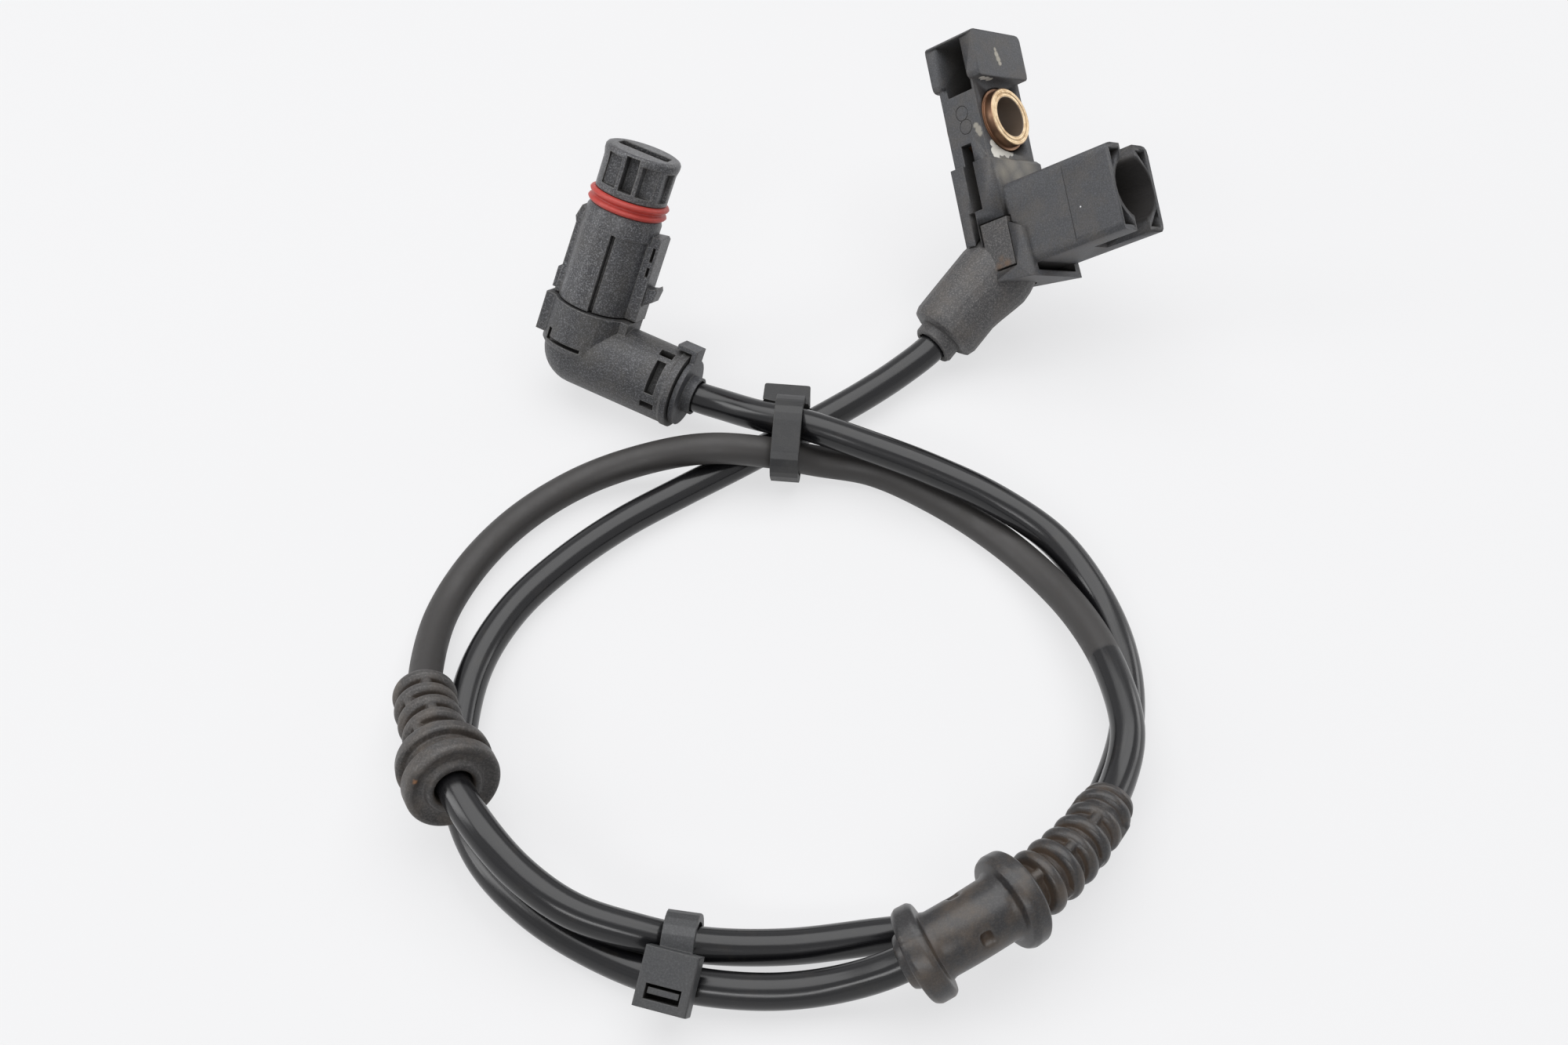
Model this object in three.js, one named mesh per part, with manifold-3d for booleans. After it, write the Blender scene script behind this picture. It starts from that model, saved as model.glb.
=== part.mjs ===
// Brake pad wear sensor lead: elbow plug, coiled cable, two grommets, two ties, sensor carrier.
// Units are millimetres, +Z is up, the lead lies on the plane z = 0 as it was photographed.
import * as THREE from 'three';
import Module from 'manifold-3d';
import { mergeVertices } from 'three/addons/utils/BufferGeometryUtils.js';

const wasm = await Module();
wasm.setup();

// Driving sizes

const GAP = 0.3; // air kept between two pieces that touch in the real lead
const CABLE_D = 5.4; // outside diameter of the cable sheath
const CABLE_R = CABLE_D / 2;
const BORE_R = CABLE_R + GAP; // hole left around the cable
const CORE_R = 0.75; // insulated core inside the two connectors
const PIN_R = 0.5; // contact pin
const CABLE_STEP = 10.8; // step along the free cable
const FINE_STEP = 4.4; // step inside grommets and connectors
const CABLE_SIDES = 10; // sides of the cable tube

// Sensor carrier: A runs up the spine, B out through the socket, C across
const HEAD_AT = new THREE.Vector3(34.1, 71.2, 25.7);
const HEAD_A = new THREE.Vector3(-0.1926, 0.8177, 0.5424);
const HEAD_B = new THREE.Vector3(0.7073, -0.2674, 0.6544);
const SPINE_W = [-6.8, 6.9]; // neck, across
const SPINE_D = 7.7; // neck, front to back
const SPINE_TOP = 7.1; // where the cap begins
const CAP_TOP = 15.8;
const CAP_W = [-7.5, 7.1];
const CAP_D = [-0.8, 9.9];
const CAP_POCKET = { a: [5.4, 14.9], b: [1.7, 7.3], depth: 9 };
const SLOT_POCKET = { a: [-16.2, -3.8], b: [2.3, 4.6], depth: 8 };
const RIM_GROOVE = { a: [-27.3, -16.2], b: [1.4, 2.8], depth: 4 };
const PLATFORM_TOP = -7.5; // the thicker part of the carrier begins here
const PLATFORM_D = 8.8;
const FOOT_END = -30.8;
const FOOT_D = 12.4;
const SOCKET_A = [-28.5, -12.8];
const SOCKET_W = [-6.3, 6.5];
const SOCKET_END = 31.5;
const SOCKET_BORE_R = 5.6;
const SOCKET_BORE_FLOOR = 13;
const SOCKET_PIN_L = 6.5; // pin standing in the socket
const SOCKET_SLIT_W = 3.9; // slits in the top and bottom walls
const SOCKET_SLIT_L = 9.2;
const PATCH = { a: [-27.6, -19.6], b: [3.2, 9.1], depth: 5.2 }; // overmould seen in the side
const BUSH_R = 5.8;
const BUSH_BORE_R = 3.8;
const BUSH_FRONT = 9.5;
const BUSH_BACK = -0.9;
const BOOT_R = 6.45;
const BOOT_START = new THREE.Vector3(-23.0, 3.4, 0); // in the carrier's A, B, C
const BOOT_END = new THREE.Vector3(28.8, 39.0, 6.9);
const BOOT_FLARE = 1.5; // how much further the boot reaches under the carrier's foot
const BOOT_FLARE_TOWARDS = new THREE.Vector3(-0.44, 0.42, 0.8); // in the carrier's A, B, C
const COLLAR_R = 4.0;
const COLLAR_L = 3.4;

// Elbow plug: P runs along the plug, Q along the cable arm, N away from the viewer
const ELBOW_AT = new THREE.Vector3(-35.74, 33.18, 9.08);
const ELBOW_P = new THREE.Vector3(0.3211, 0.4622, 0.8266);
const ELBOW_Q = new THREE.Vector3(0.8938, -0.4364, -0.1032);
const NOSE_TOP = 36.8;
const NOSE_R = 6.5;
const NOSE_BORE_DEPTH = 9;
const NOSE_SLOT = { q: 9.6, n: 3.2 };
const SEAL_AT = 27.3;
const SEAL_R = 7.1;
const SEAL_SEAT_R = 5.6;
const SEAL_HALF = 1.7;
const BARREL_R = 6.7;
const BARREL_CORE_R = 6.3; // the part of the barrel seen in the window
const BAND_TOP = 8;
const BAND_END = -0.4;
const BAND_R = 7.4;
const ARM_R = 6.75;
const ARM_END = 19.9;
const ARM_BORE_R = 4.4;
const RETAINER_COLLAR_R = 3.4;
const RETAINER_END = 22.9;
const PIN_PITCH = 5.2;

// Cable route in the drawing frame, from the elbow to the carrier, picked by hand
const ROUTE = [
  [-4.5, 17.3, 8.3], [3.2, 14.0, 9.6], [13.9, 9.5, 9.3], [25.0, 4.1, 9.0],
  [35.7, -1.9, 8.0], [45.4, -8.8, 5.3], [51.7, -18.9, 2.9], [54.4, -30.9, 2.9],
  [54.0, -43.1, 2.9], [50.2, -54.8, 2.9], [44.0, -65.4, 2.9], [35.1, -73.8, 2.9],
  [24.2, -79.4, 2.8], [12.1, -81.5, 2.8], [-0.1, -83.3, 3.3], [-12.3, -84.0, 5.2],
  [-21.5, -83.5, 8.2], [-30.6, -81.3, 10.5], [-38.4, -76.1, 12.2], [-44.8, -69.2, 14.1],
  [-49.3, -61.7, 14.4], [-52.5, -53.0, 11.7], [-55.5, -44.2, 8.6], [-56.8, -33.9, 5.3],
  [-55.7, -21.2, 2.9], [-50.8, -9.9, 2.8], [-43.4, -0.2, 2.8], [-33.5, 7.0, 3.5],
  [-21.9, 9.9, 5.9], [-12.5, 9.3, 8.6], [-3.0, 9.6, 7.3], [5.8, 11.0, 3.4],
  [15.3, 9.3, 2.8], [25.7, 3.0, 2.8], [35.0, -5.1, 3.0], [42.5, -14.7, 4.1],
  [48.0, -25.5, 6.2], [51.5, -37.1, 8.0], [52.7, -49.3, 8.9], [50.2, -58.7, 8.9],
  [44.9, -68.4, 10.5], [38.1, -76.6, 12.2], [30.8, -82.2, 12.7], [23.2, -86.7, 11.6],
  [14.9, -89.5, 8.0], [5.8, -90.5, 4.8], [-4.0, -91.0, 4.3], [-16.0, -89.1, 3.9],
  [-27.1, -84.0, 3.0], [-37.3, -77.0, 2.9], [-45.4, -67.8, 2.9], [-49.9, -56.4, 2.9],
  [-50.7, -44.2, 2.9], [-49.1, -32.0, 2.9], [-44.2, -20.8, 2.9], [-36.6, -11.2, 2.9],
  [-27.6, -2.8, 2.9], [-17.6, 4.4, 2.9], [-9.5, 9.9, 2.9], [-1.5, 15.5, 2.9],
  [6.6, 21.0, 3.2], [14.7, 26.7, 3.8], [21.0, 31.8, 4.3],
];

// Grommets
const LEFT_GROMMET_AT = [-49.1, -62.2, 14.3];
const RIGHT_GROMMET_AT = [20.5, -87.9, 10.7];
const FLANGE_R = 7.35;
const GROMMET_CORE_R = 3.9;
const BARREL_GROMMET_R = 5.1; // barrel between the right grommet's flanges
const LEFT_RIBS = 4;
const LEFT_RIB_PITCH = 3.5;
const RIGHT_RIB_PITCH = 3.5;

// Ties
const UPPER_TIE_X = 1.2;
const LOWER_TIE_X = -15.7;
const TIE_W = 4.8;
const TIE_T = 1.2;
const TIE_HEAD_W = 8.0;

// Helpers

const v3 = (x, y, z) => new THREE.Vector3(x, y, z);

function solid(geometry) {
  const bare = geometry.clone();
  bare.deleteAttribute('normal');
  bare.deleteAttribute('uv');
  const merged = bare.index && bare.userData.closed ? bare : mergeVertices(bare, 1e-4);
  const mesh = new wasm.Mesh({
    numProp: 3,
    vertProperties: Float32Array.from(merged.attributes.position.array),
    triVerts: Uint32Array.from(merged.index.array),
  });
  return new wasm.Manifold(mesh);
}

function geometryOf(body) {
  const mesh = body.getMesh();
  const geometry = new THREE.BufferGeometry();
  geometry.setAttribute('position', new THREE.BufferAttribute(Float32Array.from(mesh.vertProperties), 3));
  geometry.setIndex(new THREE.BufferAttribute(Uint32Array.from(mesh.triVerts), 1));
  return geometry;
}

// Box between two limits on each axis
function box(x, y, z) {
  const g = new THREE.BoxGeometry(x[1] - x[0], y[1] - y[0], z[1] - z[0]);
  g.translate((x[0] + x[1]) / 2, (y[0] + y[1]) / 2, (z[0] + z[1]) / 2);
  return solid(g);
}

// Prism along Y with rounded corners in X and Z
function roundedPrism(x, y, z, r) {
  const s = new THREE.Shape();
  s.moveTo(x[0] + r, -z[0]);
  s.lineTo(x[1] - r, -z[0]);
  s.quadraticCurveTo(x[1], -z[0], x[1], -z[0] - r);
  s.lineTo(x[1], -z[1] + r);
  s.quadraticCurveTo(x[1], -z[1], x[1] - r, -z[1]);
  s.lineTo(x[0] + r, -z[1]);
  s.quadraticCurveTo(x[0], -z[1], x[0], -z[1] + r);
  s.lineTo(x[0], -z[0] - r);
  s.quadraticCurveTo(x[0], -z[0], x[0] + r, -z[0]);
  const g = new THREE.ExtrudeGeometry(s, { depth: y[1] - y[0], bevelEnabled: false, curveSegments: 3 });
  g.rotateX(-Math.PI / 2);
  g.translate(0, y[0], 0);
  return solid(g);
}

// Turned body: profile of [radius, height] about Y, both ends on the axis
function turned(profile, sides) {
  const points = profile.map(([r, h]) => new THREE.Vector2(r, h));
  return new THREE.LatheGeometry(points, sides);
}

// Round bar between two points
function bar(from, to, r, sides) {
  const axis = to.clone().sub(from);
  const g = turned([[0, 0], [r, 0], [r, axis.length()], [0, axis.length()]], sides);
  g.applyQuaternion(new THREE.Quaternion().setFromUnitVectors(v3(0, 1, 0), axis.normalize()));
  g.translate(from.x, from.y, from.z);
  return g;
}

// Rings joined into one closed skin. A looped skin has no caps.
function skin(rings, looped) {
  const n = rings[0].length;
  const position = [];
  const index = [];
  rings.forEach((ring) => ring.forEach((p) => position.push(p.x, p.y, p.z)));
  const last = looped ? rings.length : rings.length - 1;
  for (let i = 0; i < last; i += 1) {
    const a = i * n;
    const b = ((i + 1) % rings.length) * n;
    for (let j = 0; j < n; j += 1) {
      const k = (j + 1) % n;
      index.push(a + j, a + k, b + k);
      index.push(a + j, b + k, b + j);
    }
  }
  if (!looped) {
    const end = (rings.length - 1) * n;
    for (let j = 1; j < n - 1; j += 1) {
      index.push(0, j + 1, j);
      index.push(end, end + j, end + j + 1);
    }
  }
  const geometry = new THREE.BufferGeometry();
  geometry.setAttribute('position', new THREE.BufferAttribute(new Float32Array(position), 3));
  geometry.setIndex(index);
  geometry.userData.closed = true;
  return geometry;
}

// Circle square to a direction, its first point on the upper side
function circle(centre, direction, r, sides) {
  const t = direction.clone().normalize();
  const n = v3(0, 0, 1).addScaledVector(t, -t.z).normalize();
  const b = t.clone().cross(n);
  const ring = [];
  for (let j = 0; j < sides; j += 1) {
    const w = (2 * Math.PI * j) / sides;
    ring.push(centre.clone().addScaledVector(n, r * Math.cos(w)).addScaledVector(b, r * Math.sin(w)));
  }
  return ring;
}

// Local frames of the two connectors

function basis(origin, x, y) {
  const ex = x.clone().normalize();
  const ey = y.clone().addScaledVector(ex, -y.dot(ex)).normalize();
  const ez = ex.clone().cross(ey);
  return new THREE.Matrix4().makeBasis(ex, ey, ez).setPosition(origin);
}
const head = basis(HEAD_AT, HEAD_A, HEAD_B);
const elbow = basis(ELBOW_AT, ELBOW_P, ELBOW_Q);
const headInverse = head.clone().invert();

// The cable's centre line

const start = v3(0, ARM_END - 1.6, 0).applyMatrix4(elbow);
const exit = v3(0, RETAINER_END, 0).applyMatrix4(elbow);
const lead = v3(0, RETAINER_END + 5, 0).applyMatrix4(elbow).add(v3(0, 0, 0.8));
const bootIn = BOOT_START.clone().applyMatrix4(head);
const bootAxis = BOOT_END.clone().sub(bootIn).normalize();
const collarEnd = BOOT_END.clone().addScaledVector(bootAxis, COLLAR_L);
const cableEnd = BOOT_END.clone().addScaledVector(bootAxis, -1.5);
const centreLine = new THREE.CatmullRomCurve3(
  [start, exit, lead, ...ROUTE.map((p) => v3(...p)), collarEnd, cableEnd],
  false,
  'centripetal',
);
centreLine.arcLengthDivisions = 2400;
const length = centreLine.getLength();

function at(distance) {
  const u = Math.min(Math.max(distance / length, 0), 1);
  return { p: centreLine.getPointAt(u), t: centreLine.getTangentAt(u) };
}

// Distance along the cable where it passes nearest to a point, searched between two limits
function along(point, low, high) {
  let best = low;
  let least = Infinity;
  for (let s = low; s < high; s += 0.25) {
    const d = at(s).p.distanceTo(point);
    if (d < least) {
      least = d;
      best = s;
    }
  }
  return best;
}

// Places of the two grommets along the cable
const leftFace = along(v3(...LEFT_GROMMET_AT), 200, 290) - 1.4;
const rightHub = along(v3(...RIGHT_GROMMET_AT), 470, 540) + 2.9;

// Distances of the cable's rings, closer together where something fits round it
const stops = [0];
while (stops[stops.length - 1] < length - 0.5) {
  const s = stops[stops.length - 1];
  const inLeft = s > leftFace - CABLE_STEP && s < leftFace + 26;
  const inRight = s > rightHub - 44 - CABLE_STEP && s < rightHub;
  const atEnd = s < 9 || s > length - 20;
  const step = inLeft || inRight || atEnd ? FINE_STEP : CABLE_STEP;
  stops.push(s + step > length - 2 ? length : s + step);
}

// The cable's own shape at a radius, between two distances; past an end it runs on straight
function cableTube(r, from, to) {
  const rings = [];
  const ends = [];
  if (from < 0) {
    ends.push([at(0), from]);
  }
  stops.forEach((s, i) => {
    const near = stops[Math.min(i + 1, stops.length - 1)] > from && stops[Math.max(i - 1, 0)] < to;
    if (near) {
      ends.push([at(s), 0]);
    }
  });
  if (to > length) {
    ends.push([at(length), to - length]);
  }
  ends.forEach(([{ p, t }, more]) => rings.push(circle(p.clone().addScaledVector(t, more), t, r, CABLE_SIDES)));
  return skin(rings, false);
}

// Body of revolution bent along the cable: [distance, radius] from one end to the other
function bent(profile, sides) {
  const rings = profile.map(([s, r]) => {
    const { p, t } = at(s);
    return circle(p, t, r, sides);
  });
  return skin(rings, false);
}

// Sensor carrier

function carrier() {
  const cap = roundedPrism([SPINE_TOP, CAP_TOP], CAP_D, CAP_W, 1.2);
  const neck = box([PLATFORM_TOP - 2, SPINE_TOP + 1], [0, SPINE_D], SPINE_W);
  const lower = new THREE.Shape();
  lower.moveTo(PLATFORM_TOP, -0.6);
  lower.lineTo(PLATFORM_TOP, PLATFORM_D - 0.8);
  lower.lineTo(PLATFORM_TOP - 0.8, PLATFORM_D);
  lower.lineTo(-19.6, PLATFORM_D);
  lower.lineTo(-21.6, FOOT_D - 0.4);
  lower.lineTo(FOOT_END, FOOT_D);
  lower.lineTo(FOOT_END + 1.8, -0.6);
  lower.closePath();
  const plate = new THREE.ExtrudeGeometry(lower, { depth: CAP_W[1] - CAP_W[0], bevelEnabled: false });
  plate.translate(0, 0, CAP_W[0]);
  const socket = roundedPrism(SOCKET_A, [PLATFORM_D - 1, SOCKET_END], SOCKET_W, 1.6);
  let body = cap.add(neck).add(solid(plate)).add(socket);

  // Cable side of the carrier: open pockets
  [CAP_POCKET, SLOT_POCKET, RIM_GROOVE].forEach((p) => {
    body = body.subtract(box(p.a, p.b, [CAP_W[0] - 1, CAP_W[0] + p.depth]));
  });
  // Hollow of the tray below the socket
  body = body.subtract(box([FOOT_END + 1.1, SOCKET_A[0] + 0.3], [FOOT_D - 3.8, FOOT_D + 1], [-5.4, 5.6]));

  // Socket bore with a slit above and below, and four corner pockets
  const middle = (SOCKET_A[0] + SOCKET_A[1]) / 2;
  const bore = turned([[0, 0], [SOCKET_BORE_R, 0], [SOCKET_BORE_R, 40], [0, 40]], 24);
  bore.translate(middle, SOCKET_BORE_FLOOR, 0.1);
  body = body.subtract(solid(bore));
  const slitFrom = SOCKET_END - SOCKET_SLIT_L;
  const slitHalf = SOCKET_SLIT_W / 2;
  body = body.subtract(box([SOCKET_A[0] - 1, SOCKET_A[1] + 1], [slitFrom, SOCKET_END + 1], [-slitHalf, slitHalf]));
  [-1, 1].forEach((up) => {
    [-1, 1].forEach((side) => {
      const wall = up > 0 ? SOCKET_A[1] - 1 : SOCKET_A[0] + 1;
      const edge = 0.1 + side * 5.4;
      const tri = new THREE.Shape();
      tri.moveTo(wall, -edge);
      tri.lineTo(wall - up * 3.4, -edge);
      tri.lineTo(wall, -edge + side * 2.9);
      tri.closePath();
      const pocket = new THREE.ExtrudeGeometry(tri, { depth: 8, bevelEnabled: false });
      pocket.rotateX(-Math.PI / 2);
      pocket.translate(0, SOCKET_END - 7.5, 0);
      body = body.subtract(solid(pocket));
    });
  });

  // Hole for the bush, passage for the pins and cores, room for the overmould
  const hole = turned([[0, -3], [BUSH_R + GAP, -3], [BUSH_R + GAP, 14], [0, 14]], 28);
  body = body.subtract(solid(hole));
  body = body.subtract(box([-28, -18.6], [PATCH.b[0] - GAP, PATCH.b[1] + GAP], [CAP_W[0] - 1, 4.2]));
  [-1, 1].forEach((side) => {
    const z = side * 1.9;
    body = body.subtract(box([middle - 0.9, middle + 0.9], [PATCH.b[1] - 1, SOCKET_BORE_FLOOR + 1], [z - 0.9, z + 0.9]));
  });
  body = body.subtract(solid(bootSkin(GAP)));
  return body;
}

// Outside of the boot in the carrier's frame, grown by a given amount
function bootSkin(grow) {
  const to = BOOT_END.clone().applyMatrix4(headInverse);
  const dir = to.clone().sub(BOOT_START).normalize();
  const span = to.distanceTo(BOOT_START);
  const out = BOOT_FLARE_TOWARDS.clone().addScaledVector(dir, -BOOT_FLARE_TOWARDS.dot(dir)).normalize();
  // Distance from the start, radius, and how much further the flared side reaches
  const profile = [
    [-0.5, BOOT_R - 2.4, 0.4], [1.5, BOOT_R - 1.2, BOOT_FLARE + 0.6], [4, BOOT_R - 0.3, BOOT_FLARE + 0.2],
    [6, BOOT_R, BOOT_FLARE], [7.6, BOOT_R, BOOT_FLARE - 0.3], [11.4, BOOT_R, 0.35], [13.4, BOOT_R, 0],
    [span - 0.8, BOOT_R, 0], [span + 0.4, BOOT_R - 0.4], [span + 0.9, BOOT_R - 1.5, 0],
  ];
  const rings = profile.map(([s, r, flare = 0]) => {
    const centre = BOOT_START.clone().addScaledVector(dir, s);
    return circle(centre, dir, r + grow, 24).map((point) => {
      const side = point.clone().sub(centre).dot(out) / (r + grow);
      return point.addScaledVector(out, (flare * (1 + side)) / 2);
    });
  });
  return skin(rings, false);
}

function overmould() {
  const skinGeometry = bootSkin(0);
  let body = solid(skinGeometry);
  const core = box([PATCH.a[0], -18.9], [PATCH.b[0], PATCH.b[1]], [CAP_W[0] + 0.2, 3.9]);
  body = body.add(core);
  const world = geometryOf(body);
  world.applyMatrix4(head);
  let placed = solid(world);
  const inside = length - 1.5;
  const collar = bent([[inside - COLLAR_L, COLLAR_R - 0.3], [inside - COLLAR_L + 0.4, COLLAR_R], [inside + 1, COLLAR_R]], 24);
  placed = placed.add(solid(collar));
  placed = placed.subtract(solid(cableTube(BORE_R, length - 8, length + GAP)));
  // Ways for the two cores from the cable to the pins
  [-1, 1].forEach((side) => {
    placed = placed.subtract(solid(headCore(side, CORE_R + 0.25)));
  });
  return placed;
}

// One insulated core from the cable's end to a socket pin
function headCore(side, r) {
  const middle = (SOCKET_A[0] + SOCKET_A[1]) / 2;
  const across = v3(0, 0, 1).transformDirection(head);
  across.addScaledVector(bootAxis, -across.dot(bootAxis)).normalize();
  const points = [
    cableEnd.clone().addScaledVector(bootAxis, -GAP).addScaledVector(across, side * 1.2),
    bootIn.clone().lerp(BOOT_END, 0.45).addScaledVector(across, side * 1.3),
    v3(middle - 0.6, 5.4, side * 1.7).applyMatrix4(head),
    v3(middle, PATCH.b[1] + 0.9, side * 1.9).applyMatrix4(head),
  ];
  const path = new THREE.CatmullRomCurve3(points);
  const rings = [];
  for (let i = 0; i <= 12; i += 1) {
    rings.push(circle(path.getPointAt(i / 12), path.getTangentAt(i / 12), r, 8));
  }
  return skin(rings, false);
}

function socketPin(side) {
  const middle = (SOCKET_A[0] + SOCKET_A[1]) / 2;
  const from = v3(middle, PATCH.b[1] + 0.9 + GAP, side * 1.9);
  const to = v3(middle, SOCKET_BORE_FLOOR + SOCKET_PIN_L, side * 1.9);
  return bar(from, to, PIN_R + 0.1, 8).applyMatrix4(head);
}

function bush() {
  const r = BUSH_R;
  const profile = [
    [BUSH_BORE_R, BUSH_BACK + 0.4], [BUSH_BORE_R + 0.4, BUSH_BACK], [r - 0.4, BUSH_BACK], [r, BUSH_BACK + 0.4],
    [r, BUSH_FRONT - 0.5], [r - 0.5, BUSH_FRONT], [BUSH_BORE_R + 0.5, BUSH_FRONT], [BUSH_BORE_R, BUSH_FRONT - 0.5],
    [BUSH_BORE_R, BUSH_BACK + 0.4],
  ];
  return turned(profile, 32).applyMatrix4(head);
}

// Elbow plug

function plugBody() {
  const seatLow = SEAL_AT - SEAL_HALF - GAP;
  const seatHigh = SEAL_AT + SEAL_HALF + GAP;
  const profile = [
    [0, BAND_TOP + GAP], [BARREL_CORE_R, BAND_TOP + GAP], [BARREL_CORE_R, 22.4], [BARREL_R, 22.4],
    [BARREL_R, 24.4], [BARREL_R - 0.3, seatLow], [SEAL_SEAT_R - GAP, seatLow],
    [SEAL_SEAT_R - GAP, seatHigh], [NOSE_R, seatHigh], [NOSE_R, NOSE_TOP - 1.1],
    [NOSE_R - 0.35, NOSE_TOP - 0.3], [NOSE_R - 1.1, NOSE_TOP], [0, NOSE_TOP],
  ];
  const g = turned(profile, 36);
  g.rotateZ(-Math.PI / 2);
  let body = solid(g);
  // Left half of the barrel stands proud of the window up to the middle seam
  const shell = turned([[0, BAND_TOP + GAP], [BARREL_R, BAND_TOP + GAP], [BARREL_R, 23], [0, 23]], 36);
  shell.rotateZ(-Math.PI / 2);
  body = body.add(solid(shell).intersect(box([0, 30], [-9, -0.5], [-9, 9])));
  // Back plate on the far side of the arm, and its shoulder
  body = body.add(box([BAND_TOP + GAP, 18], [-BARREL_R - 1.5, -4], [-3.1, 3.1]));
  // Latch rail on the arm side with two holes and a hooked fin
  let rail = box([BAND_TOP + GAP, 22.6], [4, BARREL_R + 1.5], [-3.2, 3.2]);
  rail = rail.subtract(box([9, 21.2], [BARREL_R - 0.1, BARREL_R + 0.6], [-4, 4]));
  rail = rail.add(box([9.5, 11], [BARREL_R - 0.4, BARREL_R + 1], [-3.2, 3.2]));
  rail = rail.add(box([14.6, 16], [BARREL_R - 0.4, BARREL_R + 1], [-3.2, 3.2]));
  const hook = new THREE.Shape();
  hook.moveTo(10.0, BARREL_R + 1.2);
  hook.lineTo(14.4, BARREL_R + 1.2);
  hook.lineTo(14.6, BARREL_R + 3.4);
  hook.lineTo(13.4, BARREL_R + 3.5);
  hook.closePath();
  const fin = new THREE.ExtrudeGeometry(hook, { depth: 4.4, bevelEnabled: false });
  fin.translate(0, 0, -2.2);
  body = body.add(rail).add(solid(fin));
  // Seam down the middle of the barrel
  body = body.subtract(box([BAND_TOP - 1, 22.5], [-0.5, 0.5], [-9, -BARREL_CORE_R + 0.9]));
  // Keyways around the nose, three on the viewer's side and two behind
  const low = SEAL_AT + SEAL_HALF + GAP + 1.4;
  const keys = [
    [-5.6, -3.1, -9, -3.2, NOSE_TOP - 2.2], [-2.1, 0, -9, -4.5, NOSE_TOP - 0.9], [1.1, 3.7, -9, -4.0, NOSE_TOP - 2.4],
    [-4.4, -1.6, 3.4, 9, NOSE_TOP - 2.2], [1.6, 4.4, 3.4, 9, NOSE_TOP - 2.2],
  ];
  keys.forEach(([q0, q1, n0, n1, top]) => {
    body = body.subtract(box([low, top], [q0, q1], [n0, n1]));
  });
  // Flat mouth of the nose with its inner room
  body = body.subtract(box([NOSE_TOP - NOSE_BORE_DEPTH, NOSE_TOP + 1],
    [-NOSE_SLOT.q / 2, NOSE_SLOT.q / 2], [-NOSE_SLOT.n / 2, NOSE_SLOT.n / 2]));
  // Ways for the pins
  [-1, 1].forEach((side) => {
    const y = (side * PIN_PITCH) / 2;
    const way = bar(v3(BAND_TOP - 1, y, 0), v3(NOSE_TOP - NOSE_BORE_DEPTH + 1, y, 0), CORE_R + 0.3, 10);
    body = body.subtract(solid(way));
  });
  return geometryOf(body).applyMatrix4(elbow);
}

function plugSeal() {
  const r = SEAL_SEAT_R;
  const h = SEAL_HALF;
  const profile = [
    [r, -h], [SEAL_R - 0.7, -h], [SEAL_R - 0.15, -h + 0.25], [SEAL_R, -h + 0.75], [SEAL_R - 0.3, -h + 1.25],
    [SEAL_R - 0.55, 0], [SEAL_R - 0.25, 0.35], [SEAL_R + 0.05, 0.8], [SEAL_R, 1.3], [SEAL_R - 0.6, h], [r, h], [r, -h],
  ];
  const g = turned(profile, 36);
  g.rotateZ(-Math.PI / 2);
  g.translate(SEAL_AT, 0, 0);
  return g.applyMatrix4(elbow);
}

function elbowCover() {
  // Clamp band round the foot of the plug
  const band = turned([[0, BAND_END], [BAND_R - 0.4, BAND_END], [BAND_R, BAND_END + 0.5], [BAND_R, BAND_TOP], [0, BAND_TOP]], 36);
  band.rotateZ(-Math.PI / 2);
  let body = solid(band);
  body = body.add(box([BAND_END + 1.4, BAND_TOP], [-BAND_R - 0.8, -3], [-3.6, 3.6]));
  body = body.add(box([2, BAND_TOP], [3, BARREL_R + 1.3], [-3.4, 3.4]));
  // Round corner and the cable arm
  const ball = new THREE.SphereGeometry(ARM_R, 32, 20);
  body = body.add(solid(ball));
  const arm = turned([[0, 0], [ARM_R, 0], [ARM_R, ARM_END - 1.5], [ARM_R + 0.2, ARM_END - 1.2], [ARM_R + 0.2, ARM_END], [0, ARM_END]], 36);
  body = body.add(solid(arm));
  body = body.add(box([3, 5.6], [3, ARM_END - 0.4], [-3.4, 3.4]));
  // Room inside for the retainer and the cores
  const room = turned([[0, 8], [ARM_BORE_R, 8], [ARM_BORE_R, 30], [0, 30]], 24);
  body = body.subtract(solid(room));
  const way = turned([[0, -1.5], [3.9, -1.5], [3.9, 12], [0, 12]], 20);
  body = body.subtract(solid(way));
  const shaft = turned([[0, -1.5], [3.9, -1.5], [3.9, 12], [0, 12]], 20);
  shaft.rotateZ(-Math.PI / 2);
  body = body.subtract(solid(shaft));
  // Latch windows round the arm and the tab slot in the band
  [[8, -45], [-55, -68], [24, 36], [120, 165]].forEach(([a0, a1]) => {
    const m = THREE.MathUtils.degToRad((a0 + a1) / 2);
    const half = Math.abs(a1 - a0) / 2;
    const wide = Math.max(0.5, ARM_R * Math.sin(THREE.MathUtils.degToRad(half)));
    const long = half > 15 ? 0.85 : 1.3;
    const w = new THREE.BoxGeometry(wide * 2, long * 2, 4.6);
    w.translate(0, 0, -ARM_R);
    w.rotateY(m);
    w.translate(0, 16.3, 0);
    body = body.subtract(solid(w));
  });
  body = body.subtract(box([0.6, 1.3], [-5, 2.1], [-9, -BAND_R + 1.9]));
  body = body.subtract(box([0.6, 2.8], [-5, -4.3], [-9, -BAND_R + 2.9]));
  return geometryOf(body).applyMatrix4(elbow);
}

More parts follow.
